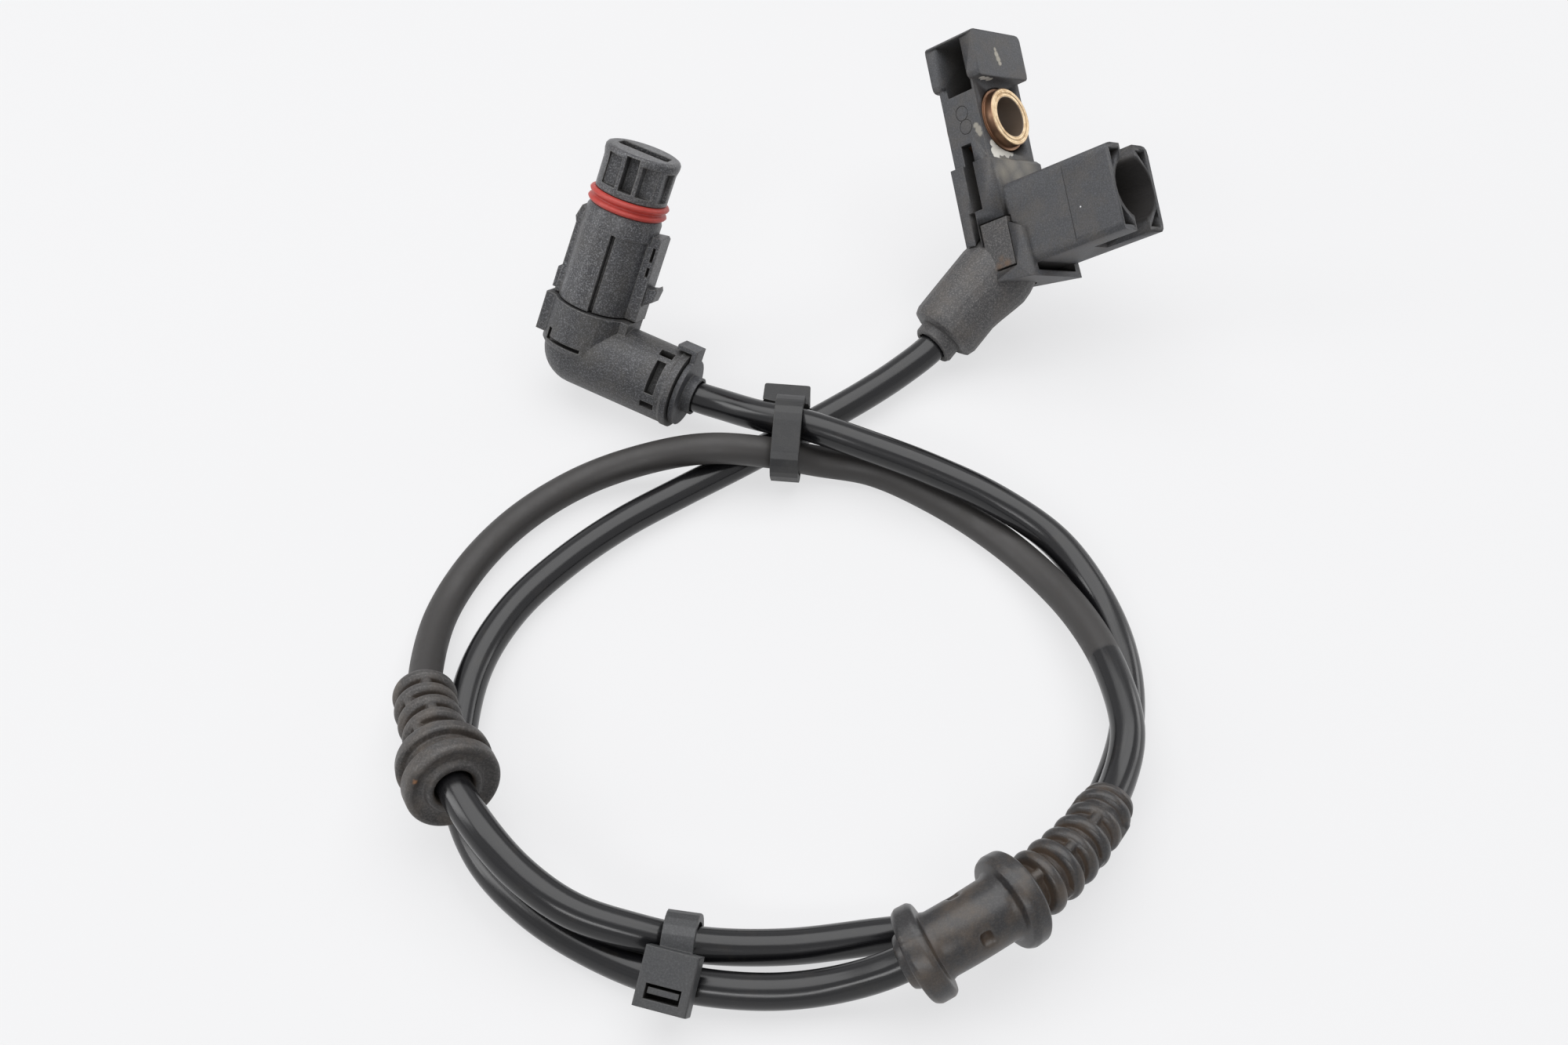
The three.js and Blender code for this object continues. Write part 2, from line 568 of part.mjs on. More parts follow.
function retainer() {
  const r = ARM_BORE_R - GAP;
  const profile = [
    [0, ARM_END - 5.4], [r, ARM_END - 5.4], [r, ARM_END + GAP], [ARM_R - 0.7, ARM_END + GAP],
    [ARM_R - 0.7, ARM_END + GAP + 0.9], [RETAINER_COLLAR_R, ARM_END + GAP + 0.9],
    [RETAINER_COLLAR_R, RETAINER_END], [0, RETAINER_END],
  ];
  let body = solid(turned(profile, 28));
  // Tab that stands over the end of the arm
  body = body.add(box([2, 8.1], [ARM_END + GAP, ARM_END + GAP + 0.9], [-2, 2]));
  body = body.add(box([ARM_R + 0.2 + GAP, 8.1], [ARM_END - 2.6, ARM_END + GAP + 0.9], [-2, 2]));
  const bore = cableTube(BORE_R, -GAP, 12);
  bore.applyMatrix4(elbow.clone().invert());
  body = body.subtract(solid(bore));
  [-1, 1].forEach((side) => {
    body = body.subtract(solid(elbowCore(side, CORE_R + 0.25)));
  });
  return geometryOf(body).applyMatrix4(elbow);
}

// One insulated core from the cable's end round the corner to a pin
function elbowCore(side, r) {
  const out = (side * PIN_PITCH) / 2;
  const path = new THREE.CatmullRomCurve3([
    v3(0, ARM_END - 1.6 - GAP, side * 1.1), v3(0.2, 13, side * 1.3), v3(0.6, 7.5 + side * 0.6, side * 1.2),
    v3(1.5, 2.4 + out * 0.5, side * 0.8), v3(4.2, out + 0.1, side * 0.3), v3(7.5, out, 0), v3(10.5, out, 0),
  ]);
  const rings = [];
  for (let i = 0; i <= 20; i += 1) {
    const t = path.getTangentAt(i / 20);
    const n = v3(0, 0, 1).addScaledVector(t, -t.z).normalize();
    const b = t.clone().cross(n);
    const ring = [];
    for (let j = 0; j < 8; j += 1) {
      const w = (Math.PI * j) / 4;
      ring.push(path.getPointAt(i / 20).addScaledVector(n, r * Math.cos(w)).addScaledVector(b, r * Math.sin(w)));
    }
    rings.push(ring);
  }
  return skin(rings, false);
}

function plugPin(side) {
  const y = (side * PIN_PITCH) / 2;
  return bar(v3(10.5 + GAP, y, 0), v3(NOSE_TOP - 2.4, y, 0), PIN_R, 8).applyMatrix4(elbow);
}

// Grommets

function leftGrommet() {
  const s = leftFace; // the ribs lie further along the cable from here
  const profile = [
    [s + 0.2, 3.9], [s + 0.2, 4.4], [s + 0.9, 4.6], [s + 0.9, 5.7], [s + 0.15, 6.3], [s, 6.8], [s + 0.4, 7.2],
    [s + 1.2, FLANGE_R], [s + 2.3, FLANGE_R], [s + 2.9, FLANGE_R - 0.5], [s + 3.0, 5.8], [s + 4.8, 5.8],
    [s + 5.0, FLANGE_R - 0.6], [s + 5.6, FLANGE_R - 0.1], [s + 6.7, FLANGE_R - 0.5], [s + 7.6, 5.9],
    [s + 8.4, 4.9], [s + 9.6, 4.6], [s + 11.2, GROMMET_CORE_R],
  ];
  for (let i = 0; i < LEFT_RIBS; i += 1) {
    const c = s + 13 + i * LEFT_RIB_PITCH;
    profile.push([c - 1.2, GROMMET_CORE_R], [c - 0.8, 4.6], [c + 0.2, 4.75], [c + 0.9, GROMMET_CORE_R + 0.2]);
  }
  profile.push([s + 25.2, GROMMET_CORE_R - 0.2]);
  let body = solid(bent(profile, 28));
  body = body.subtract(solid(cableTube(BORE_R, s - 4, s + 30)));
  // Funnel in the face
  return geometryOf(body.subtract(solid(bent([[s - 1, 4.1], [s + 0.4, 3.6], [s + 2.4, 3.05]], 20))));
}

function rightGrommet() {
  const s = (d) => rightHub - d; // distances run back from the hub to the ribs
  const ribs = [4.1, 4.2, 4.4, 4.5, 4.75, 4.85];
  const core = GROMMET_CORE_R - 0.1;
  const profile = [[s(43.6), core - 0.2]];
  ribs.forEach((r, i) => {
    const c = s(42 - i * RIGHT_RIB_PITCH);
    profile.push([c - 1.1, core - 0.1], [c - 0.7, r - 0.1], [c + 0.4, r], [c + 1.1, core - 0.1]);
  });
  profile.push([s(21.8), core], [s(21.2), 4.6], [s(20.4), 4.9]);
  profile.push([s(20.3), FLANGE_R - 0.7], [s(19.9), FLANGE_R - 0.1], [s(18.8), FLANGE_R], [s(17.6), FLANGE_R - 0.2]);
  profile.push([s(17.1), FLANGE_R - 0.9], [s(17.0), BARREL_GROMMET_R + 0.2], [s(4.6), BARREL_GROMMET_R]);
  profile.push([s(4.5), FLANGE_R - 0.8], [s(4.1), FLANGE_R - 0.1], [s(3.0), FLANGE_R], [s(1.9), FLANGE_R - 0.3]);
  profile.push([s(1.3), FLANGE_R - 1.1], [s(1.5), 5.6], [s(1.7), 4.5], [s(0.5), 4.1], [s(0), 3.8]);
  return geometryOf(solid(bent(profile, 28)).subtract(solid(cableTube(BORE_R, s(50), s(-4)))));
}

// Ties: a strap round the strands, a head on one side

function hull(points) {
  const sorted = points.slice().sort((a, b) => a.x - b.x || a.y - b.y);
  const turn = (o, a, b) => (a.x - o.x) * (b.y - o.y) - (a.y - o.y) * (b.x - o.x);
  const half = (list) => {
    const out = [];
    list.forEach((p) => {
      while (out.length > 1 && turn(out[out.length - 2], out[out.length - 1], p) <= 0) {
        out.pop();
      }
      out.push(p);
    });
    out.pop();
    return out;
  };
  return half(sorted).concat(half(sorted.reverse()));
}

function ringPoints(centres, r, floor) {
  const points = [];
  centres.forEach((c) => {
    for (let i = 0; i < 20; i += 1) {
      const w = (Math.PI * i) / 10;
      points.push(new THREE.Vector2(c.x + r * Math.cos(w), Math.max(floor, c.y + r * Math.sin(w))));
    }
  });
  return points;
}

// The tie's own frame: X along the strands, Y away from the viewer, Z up
function tieFrame(where, strandDirection) {
  const x = strandDirection.clone().setZ(0).normalize();
  return new THREE.Matrix4().makeBasis(x, v3(-x.y, x.x, 0), v3(0, 0, 1)).setPosition(where.x, where.y, 0);
}

function tie(frame, strands, headBlock, tail) {
  const inverse = frame.clone().invert();
  const centres = [];
  strands.forEach((s) => {
    [-TIE_W / 2, 0, TIE_W / 2].forEach((d) => {
      const p = at(s + d).p.clone().applyMatrix4(inverse);
      centres.push(new THREE.Vector2(p.y, p.z));
    });
  });
  const clear = CABLE_R + GAP + 0.15;
  const inner = hull(ringPoints(centres, clear, 1.15));
  const outer = hull(ringPoints(centres, clear + TIE_T, 0));
  const shape = new THREE.Shape(outer);
  shape.holes.push(new THREE.Path(inner));
  const band = new THREE.ExtrudeGeometry(shape, { depth: TIE_W, bevelEnabled: false });
  band.applyMatrix4(new THREE.Matrix4().makeBasis(v3(0, 1, 0), v3(0, 0, 1), v3(1, 0, 0)));
  band.translate(-TIE_W / 2, 0, 0);
  const keep = new THREE.ExtrudeGeometry(new THREE.Shape(inner), { depth: 30, bevelEnabled: false });
  keep.applyMatrix4(new THREE.Matrix4().makeBasis(v3(0, 1, 0), v3(0, 0, 1), v3(1, 0, 0)));
  keep.translate(-15, 0, 0);
  const block = headBlock.subtract(solid(keep));
  let placed = solid(geometryOf(solid(band).add(block).add(tail)).applyMatrix4(frame));
  // The head lies against the strands, so it is cut back to stay clear of them
  strands.forEach((s) => {
    placed = placed.subtract(solid(cableTube(CABLE_R + GAP - 0.02, s - 14, s + 14)));
  });
  return geometryOf(placed);
}

// Head block with its slot: width along X, given centre, turn about Z, tilt about X, length and thickness
function tieHead(centre, turn, tilt, long, thick, slotY) {
  const w = TIE_HEAD_W / 2;
  let block = roundedPrism([-w, w], [-long / 2, long / 2], [-thick / 2, thick / 2], 0.5);
  block = block.subtract(box([-2.6, 2.6], [slotY - 1.1, slotY + 1.1], [-thick / 2 + 1.2, thick / 2 + 1]));
  const stub = box([-2.3, 2.3], [slotY - 0.3, slotY + 0.6], [-thick / 2 + 0.6, thick / 2 - 0.4]);
  const m = new THREE.Matrix4().makeRotationZ(turn).multiply(new THREE.Matrix4().makeRotationX(tilt));
  m.setPosition(centre);
  return [geometryOf(block).applyMatrix4(m), geometryOf(stub).applyMatrix4(m)].map(solid);
}

const upperA = along(v3(UPPER_TIE_X, 15.5, 8.4), 10, 40);
const upperB = along(v3(UPPER_TIE_X, 8.5, 6.7), 330, 380);
const upperC = along(v3(UPPER_TIE_X, 16.9, 2.8), 660, length);
const lowerA = along(v3(LOWER_TIE_X, -83, 4.5), 180, 215);
const lowerB = along(v3(LOWER_TIE_X, -89.2, 4.3), 520, 550);

function upperTie() {
  const frame = tieFrame(at(upperA).p, v3(1, -0.1, 0));
  const [block, stub] = tieHead(v3(-1, 5.6, 5.6), 0, Math.PI / 2, 9, 4.6, 1.2);
  return tie(frame, [upperA, upperB, upperC], block, stub);
}

function lowerTie() {
  const frame = tieFrame(at(lowerB).p, v3(1, -0.16, 0));
  const [block, stub] = tieHead(v3(-0.3, -2.6, 8.9), -0.12, 0.55, 8.6, 4.2, -1.9);
  return tie(frame, [lowerA, lowerB], block, stub);
}

function cable() {
  return cableTube(CABLE_R, 0, length);
}

// Finishes as they look in the photograph
const FINISH = {
  glassNylon: [0x3a3b3d, 0.72, 0],
  carrierNylon: [0x38393b, 0.55, 0],
  roughNylon: [0x45433f, 0.85, 0],
  sheath: [0x141416, 0.25, 0],
  rubber: [0x2e2c2a, 0.7, 0],
  redSilicone: [0xc23a34, 0.45, 0],
  brass: [0xb08a4e, 0.35, 0.9],
  tieNylon: [0x353537, 0.45, 0],
  contact: [0xb9b4a4, 0.3, 1],
  coreInsulation: [0x6b4a2c, 0.5, 0],
};

const group = new THREE.Group();
group.name = 'brake_pad_wear_sensor';

function add(name, geometry, finish) {
  const [colour, roughness, metalness] = FINISH[finish];
  const material = new THREE.MeshStandardMaterial({ color: colour, roughness, metalness });
  material.name = `${name}_finish`;
  const mesh = new THREE.Mesh(geometry, material);
  mesh.name = name;
  group.add(mesh);
}

add('sensor_carrier', geometryOf(carrier()).applyMatrix4(head), 'carrierNylon');
add('bolt_bush', bush(), 'brass');
add('boot_overmould', geometryOf(overmould()), 'roughNylon');
add('plug_body', plugBody(), 'glassNylon');
add('plug_seal', plugSeal(), 'redSilicone');
add('elbow_cover', elbowCover(), 'glassNylon');
add('cable_retainer', retainer(), 'glassNylon');
[-1, 1].forEach((side, i) => {
  add(`socket_pin_${i + 1}`, socketPin(side), 'contact');
  add(`plug_pin_${i + 1}`, plugPin(side), 'contact');
  add(`head_core_${i + 1}`, headCore(side, CORE_R), 'coreInsulation');
  add(`elbow_core_${i + 1}`, elbowCore(side, CORE_R).applyMatrix4(elbow), 'coreInsulation');
});
add('left_grommet', leftGrommet(), 'rubber');
add('right_grommet', rightGrommet(), 'rubber');
add('upper_tie', upperTie(), 'tieNylon');
add('lower_tie', lowerTie(), 'tieNylon');
add('cable', cable(), 'sheath');

// The origin goes to the middle of the footprint of everything but the cable, on the plane it lies on
const footprint = new THREE.Box3();
group.children.filter((m) => m.name !== 'cable').forEach((m) => footprint.expandByObject(m));
const middle = footprint.getCenter(new THREE.Vector3());
group.children.forEach((m) => m.geometry.translate(-middle.x, -middle.y, 0));

export default group;
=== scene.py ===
"""A used brake pad wear sensor lead, coiled and tied, lying on a pale table in soft studio light."""
import math

import bmesh
import bpy
import numpy as np
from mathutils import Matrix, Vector


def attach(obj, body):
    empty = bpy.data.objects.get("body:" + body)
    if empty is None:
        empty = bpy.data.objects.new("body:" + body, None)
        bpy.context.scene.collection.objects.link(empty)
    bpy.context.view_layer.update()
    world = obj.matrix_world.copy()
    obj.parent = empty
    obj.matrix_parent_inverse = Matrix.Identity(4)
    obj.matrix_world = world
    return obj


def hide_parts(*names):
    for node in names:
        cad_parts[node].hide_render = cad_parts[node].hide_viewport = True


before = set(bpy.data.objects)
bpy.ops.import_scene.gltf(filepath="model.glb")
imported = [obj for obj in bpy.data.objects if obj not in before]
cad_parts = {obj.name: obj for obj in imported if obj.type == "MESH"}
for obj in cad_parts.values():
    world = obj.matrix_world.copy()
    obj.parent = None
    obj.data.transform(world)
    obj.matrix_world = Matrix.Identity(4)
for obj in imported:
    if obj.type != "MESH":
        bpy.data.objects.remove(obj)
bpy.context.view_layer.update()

MM = 0.001

# The picture: a 50 mm lens on a full-frame sensor, held 50 degrees above the table
LENS = 50.08
CAMERA_HEIGHT_ANGLE = math.radians(50)
CAMERA_AT = Vector((-2.701, -234.88, 285.73)) * MM

# The route of the cable was drawn from another origin than the part's
ROUTE_SHIFT = np.array([-2.701, 4.879, 0.0])

# Sizes of the lead in millimetres, the same as in the part's source
CABLE_R = 2.7
BORE_R = 3.0
HEAD_AT = np.array([34.1, 71.2, 25.7])
HEAD_A = np.array([-0.1926, 0.8177, 0.5424])
HEAD_B = np.array([0.7073, -0.2674, 0.6544])
BOOT_START = np.array([-23.0, 3.4, 0.0])
BOOT_END = np.array([28.8, 39.0, 6.9])
COLLAR_L = 3.4
ELBOW_AT = np.array([-35.74, 33.18, 9.08])
ELBOW_P = np.array([0.3211, 0.4622, 0.8266])
ELBOW_Q = np.array([0.8938, -0.4364, -0.1032])
ARM_END = 19.9
RETAINER_END = 22.9
BUSH_BORE_R = 3.65
SEAL_AT = 27.5
RIB_PITCH = 3.5
WEB_WIDTH = 1.3

# The rubber's outlines are rounded by so much at each corner, and drawn in steps no longer than this
RUBBER_ROUNDING = 0.22
RUBBER_STEP = 0.25

# Sides of the round pieces
RUBBER_SIDES = 112
TURNED_SIDES = 96
CABLE_SIDES = 24

# How finely the cable is drawn: steps between two points of its route, rings, and points of its path
ROUTE_STEPS = 40
CABLE_RINGS = 620

# Corners sharper than this stay sharp
CORNER = math.radians(35)

# Points on the cable's middle, from the elbow to the boot, in millimetres
ROUTE = [
    [-4.5, 17.3, 8.3], [3.2, 14.0, 9.6], [13.9, 9.5, 9.3], [25.0, 4.1, 9.0],
    [35.7, -1.9, 8.0], [45.4, -8.8, 5.3], [51.7, -18.9, 2.9], [54.4, -30.9, 2.9],
    [54.0, -43.1, 2.9], [50.2, -54.8, 2.9], [44.0, -65.4, 2.9], [35.1, -73.8, 2.9],
    [24.2, -79.4, 2.8], [12.1, -81.5, 2.8], [-0.1, -83.3, 3.3], [-12.3, -84.0, 5.2],
    [-21.5, -83.5, 8.2], [-30.6, -81.3, 10.5], [-38.4, -76.1, 12.2], [-44.8, -69.2, 14.1],
    [-49.3, -61.7, 14.4], [-52.5, -53.0, 11.7], [-55.5, -44.2, 8.6], [-56.8, -33.9, 5.3],
    [-55.7, -21.2, 2.9], [-50.8, -9.9, 2.8], [-43.4, -0.2, 2.8], [-33.5, 7.0, 3.5],
    [-21.9, 9.9, 5.9], [-12.5, 9.3, 8.6], [-3.0, 9.6, 7.3], [5.8, 11.0, 3.4],
    [15.3, 9.3, 2.8], [25.7, 3.0, 2.8], [35.0, -5.1, 3.0], [42.5, -14.7, 4.1],
    [48.0, -25.5, 6.2], [51.5, -37.1, 8.0], [52.7, -49.3, 8.9], [50.2, -58.7, 8.9],
    [44.9, -68.4, 10.5], [38.1, -76.6, 12.2], [30.8, -82.2, 12.7], [23.2, -86.7, 11.6],
    [14.9, -89.5, 8.0], [5.8, -90.5, 4.8], [-4.0, -91.0, 4.3], [-16.0, -89.1, 3.9],
    [-27.1, -84.0, 3.0], [-37.3, -77.0, 2.9], [-45.4, -67.8, 2.9], [-49.9, -56.4, 2.9],
    [-50.7, -44.2, 2.9], [-49.1, -32.0, 2.9], [-44.2, -20.8, 2.9], [-36.6, -11.2, 2.9],
    [-27.6, -2.8, 2.9], [-17.6, 4.4, 2.9], [-9.5, 9.9, 2.9], [-1.5, 15.5, 2.9],
    [6.6, 21.0, 3.2], [14.7, 26.7, 3.8], [21.0, 31.8, 4.3],
]


def unit(v):
    """The direction of a vector."""
    return v / np.linalg.norm(v)


def local_frame(origin, x, y):
    """Rows are the frame's axes in the drawing, squared up as the part's source does."""
    ex = unit(x)
    ey = unit(y - y.dot(ex) * ex)
    return origin, np.array([ex, ey, np.cross(ex, ey)])


def place(frame_, point):
    """A point given along a connector's own directions, in the drawing."""
    origin, axes = frame_
    return origin + np.asarray(point, float) @ axes


def in_part(frame_, point):
    """The same, in the part's own millimetres."""
    return place(frame_, point) + ROUTE_SHIFT


head = local_frame(HEAD_AT, HEAD_A, HEAD_B)
elbow = local_frame(ELBOW_AT, ELBOW_P, ELBOW_Q)


def take_picture_from_here():
    """The camera, where the photograph was taken from."""
    data = bpy.data.cameras.new("camera")
    data.lens = LENS
    data.clip_start = 0.01
    camera = bpy.data.objects.new("camera", data)
    camera.location = CAMERA_AT
    camera.rotation_euler = (math.pi / 2 - CAMERA_HEIGHT_ANGLE, 0, 0)
    bpy.context.scene.collection.objects.link(camera)
    bpy.context.scene.camera = camera


take_picture_from_here()


# The cable's centre line


def smooth_line(points, steps):
    """Centripetal curve through the points, with so many steps between each two."""
    ends = np.vstack([2 * points[0] - points[1], points, 2 * points[-1] - points[-2]])
    line = []
    for i in range(1, len(ends) - 2):
        p0, p1, p2, p3 = ends[i - 1 : i + 3]
        t1 = math.sqrt(np.linalg.norm(p1 - p0))
        t2 = t1 + math.sqrt(np.linalg.norm(p2 - p1))
        t3 = t2 + math.sqrt(np.linalg.norm(p3 - p2))
        t = np.linspace(t1, t2, steps, endpoint=False)[:, None]
        a1 = (t1 - t) / t1 * p0 + t / t1 * p1
        a2 = (t2 - t) / (t2 - t1) * p1 + (t - t1) / (t2 - t1) * p2
        a3 = (t3 - t) / (t3 - t2) * p2 + (t - t2) / (t3 - t2) * p3
        b1 = (t2 - t) / t2 * a1 + t / t2 * a2
        b2 = (t3 - t) / (t3 - t1) * a2 + (t - t1) / (t3 - t1) * a3
        line.extend((t2 - t) / (t2 - t1) * b1 + (t - t1) / (t2 - t1) * b2)
    line.append(points[-1])
    return np.array(line)


# The cable ends a little way inside both connectors, and rises slightly behind the insert
boot_in = place(head, BOOT_START)
boot_axis = unit(BOOT_END - boot_in)
route = np.array(
    [place(elbow, (0, ARM_END - 1.6, 0)), place(elbow, (0, RETAINER_END, 0))]
    + [place(elbow, (0, RETAINER_END + 5, 0)) + [0, 0, 0.8]]
    + ROUTE
    + [BOOT_END + boot_axis * COLLAR_L, BOOT_END - boot_axis * 1.5]
)
line = smooth_line(route, ROUTE_STEPS) + ROUTE_SHIFT
line_s = np.concatenate([[0], np.cumsum(np.linalg.norm(np.diff(line, axis=0), axis=1))])
LENGTH = line_s[-1]


def at(s):
    """Point on the cable's middle at a distance along it, and the direction there."""
    short = 0.4
    point, ahead, behind = [
        np.array([np.interp(d, line_s, line[:, k]) for k in range(3)]) for d in (s, s + short, s - short)
    ]
    return point, unit(ahead - behind)


def across(direction):
    """Two directions square to the cable: up, and to the side."""
    up = unit(np.array([0, 0, 1.0]) - direction[2] * direction)
    return up, np.cross(direction, up)


def along(point, low, high):
    """Distance along the cable where it passes nearest to a point."""
    near = (line_s > low) & (line_s < high)
    gaps = np.linalg.norm(line[near] - (np.array(point) + ROUTE_SHIFT), axis=1)
    return line_s[near][gaps.argmin()]


# Where the left grommet's face and the end of the right one's hub sit on the cable
left_face = along([-49.1, -62.2, 14.3], 200, 290) - 1.4
right_hub = along([20.5, -87.9, 10.7], 470, 540) + 4.1


# Making meshes


def put(name, mesh, material, replaced=()):
    """A finished piece in the scene: it rides with the part and stands for its CAD node."""
    piece = bpy.data.objects.new(name, mesh)
    bpy.context.scene.collection.objects.link(piece)
    piece.data.materials.clear()
    piece.data.materials.append(material)
    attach(piece, "root")
    if replaced:
        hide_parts(*replaced)
    return piece


def skin(name, rings, looped=False, along_mm=None, round_mm=17.0):
    """Closed smooth mesh over rings of points in millimetres, with a map in millimetres."""
    rings = np.asarray(rings)
    count, sides = rings.shape[:2]
    mesh = bpy.data.meshes.new(name)
    faces = []
    last = count if looped else count - 1
    for i in range(last):
        a, b = i * sides, (i + 1) % count * sides
        for j in range(sides):
            k = (j + 1) % sides
            faces.append((a + j, a + k, b + k, b + j))
    if not looped:
        faces.append(tuple(reversed(range(sides))))
        faces.append(tuple((count - 1) * sides + j for j in range(sides)))
    mesh.from_pydata((rings.reshape(-1, 3) * MM).tolist(), [], faces)
    mesh.polygons.foreach_set("use_smooth", [True] * len(faces))
    if along_mm is not None:
        uv = mesh.uv_layers.new(name="length_and_round")
        for poly in mesh.polygons:
            for n, loop in enumerate(poly.loop_indices):
                v = mesh.loops[loop].vertex_index
                turn = v % sides / sides
                # The last strip of the map ends at a full turn
                if turn == 0 and n in (1, 2) and len(poly.loop_indices) == 4:
                    turn = 1.0
                uv.data[loop].uv = (along_mm[v // sides], turn * round_mm)
    mesh.update()
    return mesh


def ring(s, radius, sides):
    """Circle round the cable at a distance along it."""
    middle, direction = at(s)
    up, side = across(direction)
    turn = np.linspace(0, 2 * math.pi, sides, endpoint=False)[:, None]
    return middle + radius * (np.cos(turn) * up + np.sin(turn) * side)


def block(frame_, low, high):
    """Box between two corners given in a frame's own directions, in millimetres."""
    x0, y0, z0 = low
    x1, y1, z1 = high
    return slab(frame_, [(x0, y0), (x1, y0), (x1, y1), (x0, y1)], z0, z1)


def slab(frame_, outline, low, high):
    """Plate with an outline in the frame's first two directions, between two heights in the third."""
    count = len(outline)
    points = [(in_part(frame_, (x, y, z)) * MM).tolist() for z in (low, high) for x, y in outline]
    faces = [tuple(reversed(range(count))), tuple(range(count, 2 * count))]
    faces += [(i, (i + 1) % count, (i + 1) % count + count, i + count) for i in range(count)]
    mesh = bpy.data.meshes.new("slab")
    mesh.from_pydata(points, [], faces)
    return mesh


def turned(frame_, axis, middle, profile, sides=TURNED_SIDES, looped=False):
    """Body of revolution round one of a frame's directions. The profile is (distance, radius) in mm."""
    one, two = [k for k in range(3) if k != axis]
    turns = np.linspace(0, 2 * math.pi, sides, endpoint=False)
    rings = []
    for distance, radius in profile:
        points = np.zeros((sides, 3)) + middle
        points[:, axis] += distance
        points[:, one] += radius * np.cos(turns)
        points[:, two] += radius * np.sin(turns)
        rings.append([in_part(frame_, point) for point in points])
    return skin("turned", rings, looped)


def facing_out(mesh):
    """Turns every face of a closed mesh outward."""
    made = bmesh.new()
    made.from_mesh(mesh)
    bmesh.ops.recalc_face_normals(made, faces=made.faces)
    made.to_mesh(mesh)
    made.free()
    return mesh


def cut(body, tools, how="DIFFERENCE"):
    """Takes shapes away from a body, or adds them to it."""
    for tool in tools:
        both = [bpy.data.objects.new("work", facing_out(mesh)) for mesh in (body, tool)]
        for one in both:
            bpy.context.scene.collection.objects.link(one)
        step = both[0].modifiers.new("cut", "BOOLEAN")
        step.operation = how
        step.object = both[1]
        step.solver = "EXACT"
        view = bpy.context.evaluated_depsgraph_get()
        body = bpy.data.meshes.new_from_object(both[0].evaluated_get(view))
        for one in both:
            bpy.data.objects.remove(one)
    return body


def smooth_but_edges(mesh):
    """Smooth shading that keeps corners sharp and large faces flat."""
    mesh.polygons.foreach_set("use_smooth", [True] * len(mesh.polygons))
    mesh.set_sharp_from_angle(angle=CORNER)
    work = bpy.data.objects.new("work", mesh)
    bpy.context.scene.collection.objects.link(work)
    step = work.modifiers.new("even", "WEIGHTED_NORMAL")
    step.keep_sharp = True
    step.weight = 100
    view = bpy.context.evaluated_depsgraph_get()
    even = bpy.data.meshes.new_from_object(work.evaluated_get(view))
    bpy.data.objects.remove(work)
    return even


# Materials


def linear(hex_colour):
    """sRGB hex to linear, with alpha."""
    out = []
    for shift in (16, 8, 0):
        c = (hex_colour >> shift & 255) / 255
        out.append(c / 12.92 if c <= 0.04045 else ((c + 0.055) / 1.055) ** 2.4)
    return (*out, 1.0)


def node(tree, kind, settings=None, links=None):
    """Adds a node. A setting is a property or a socket's value; a link names the other node's output."""
    made = tree.nodes.new(kind)
    for key, value in (settings or {}).items():
        if isinstance(key, str) and hasattr(made, key):
            setattr(made, key, value)
        else:
            made.inputs[key].default_value = value
    for key, output in (links or {}).items():
        tree.links.new(output, made.inputs[key])
    return made


def new_material(name):
    """An empty material and its tree."""
    material = bpy.data.materials.new(name)
    material.use_nodes = True
    material.node_tree.nodes.clear()
    return material, material.node_tree


def per_mm(size):
    """Texture scale for a pattern of this size in millimetres, on coordinates in metres."""
    return 1 / (size * MM)


def shaded(hex_colour, share):
    """A colour taken down to a share of its light."""
    return (*[c * share for c in linear(hex_colour)[:3]], 1.0)


# Black nylon and rubber turn this grey where they are rubbed; on their edges this grey is also a painted
# highlight
RUBBED_PALE_AND_HIGHLIGHT = 0x8A8884


def layered(tree, base, layers):
    """Colours laid over a base, one after another. A layer is its colour and the output of its share."""
    below = None
    for colour, share in layers:
        links = {0: share} if below is None else {0: share, 6: below}
        below = node(tree, "ShaderNodeMix", {"data_type": "RGBA", 6: base, 7: colour}, links).outputs[2]
    return below


def spots(tree, where, places, ragged, feather, share):
    """The share inside ragged blots, 0 outside. Their places are in millimetres as (x, y, z, reach)."""
    nearest = None
    for x, y, z, reach in places:
        away = node(
            tree, "ShaderNodeVectorMath", {"operation": "DISTANCE", 1: (x * MM, y * MM, z * MM)}, {0: where}
        ).outputs["Value"]
        beyond = node(
            tree, "ShaderNodeMath", {"operation": "SUBTRACT", 1: reach * MM}, {0: away}
        ).outputs[0]
        nearest = beyond if nearest is None else node(
            tree, "ShaderNodeMath", {"operation": "MINIMUM"}, {0: nearest, 1: beyond}
        ).outputs[0]
    # Torn edges, with teeth just under a millimetre
    torn = node(
        tree, "ShaderNodeTexNoise", {"Scale": per_mm(0.9), "Detail": 4.0, "Roughness": 0.7}, {"Vector": where}
    ).outputs["Fac"]
    edge = node(
        tree, "ShaderNodeMath", {"operation": "MULTIPLY_ADD", 1: ragged * MM}, {0: torn, 2: nearest}
    ).outputs[0]
    return node(
        tree, "ShaderNodeMapRange",
        {
            "From Min": (ragged * 0.5 - feather) * MM, "From Max": (ragged * 0.5 + feather) * MM,
            "To Min": share, "To Max": 0.0,
        },
        {"Value": edge},
    ).outputs[0]


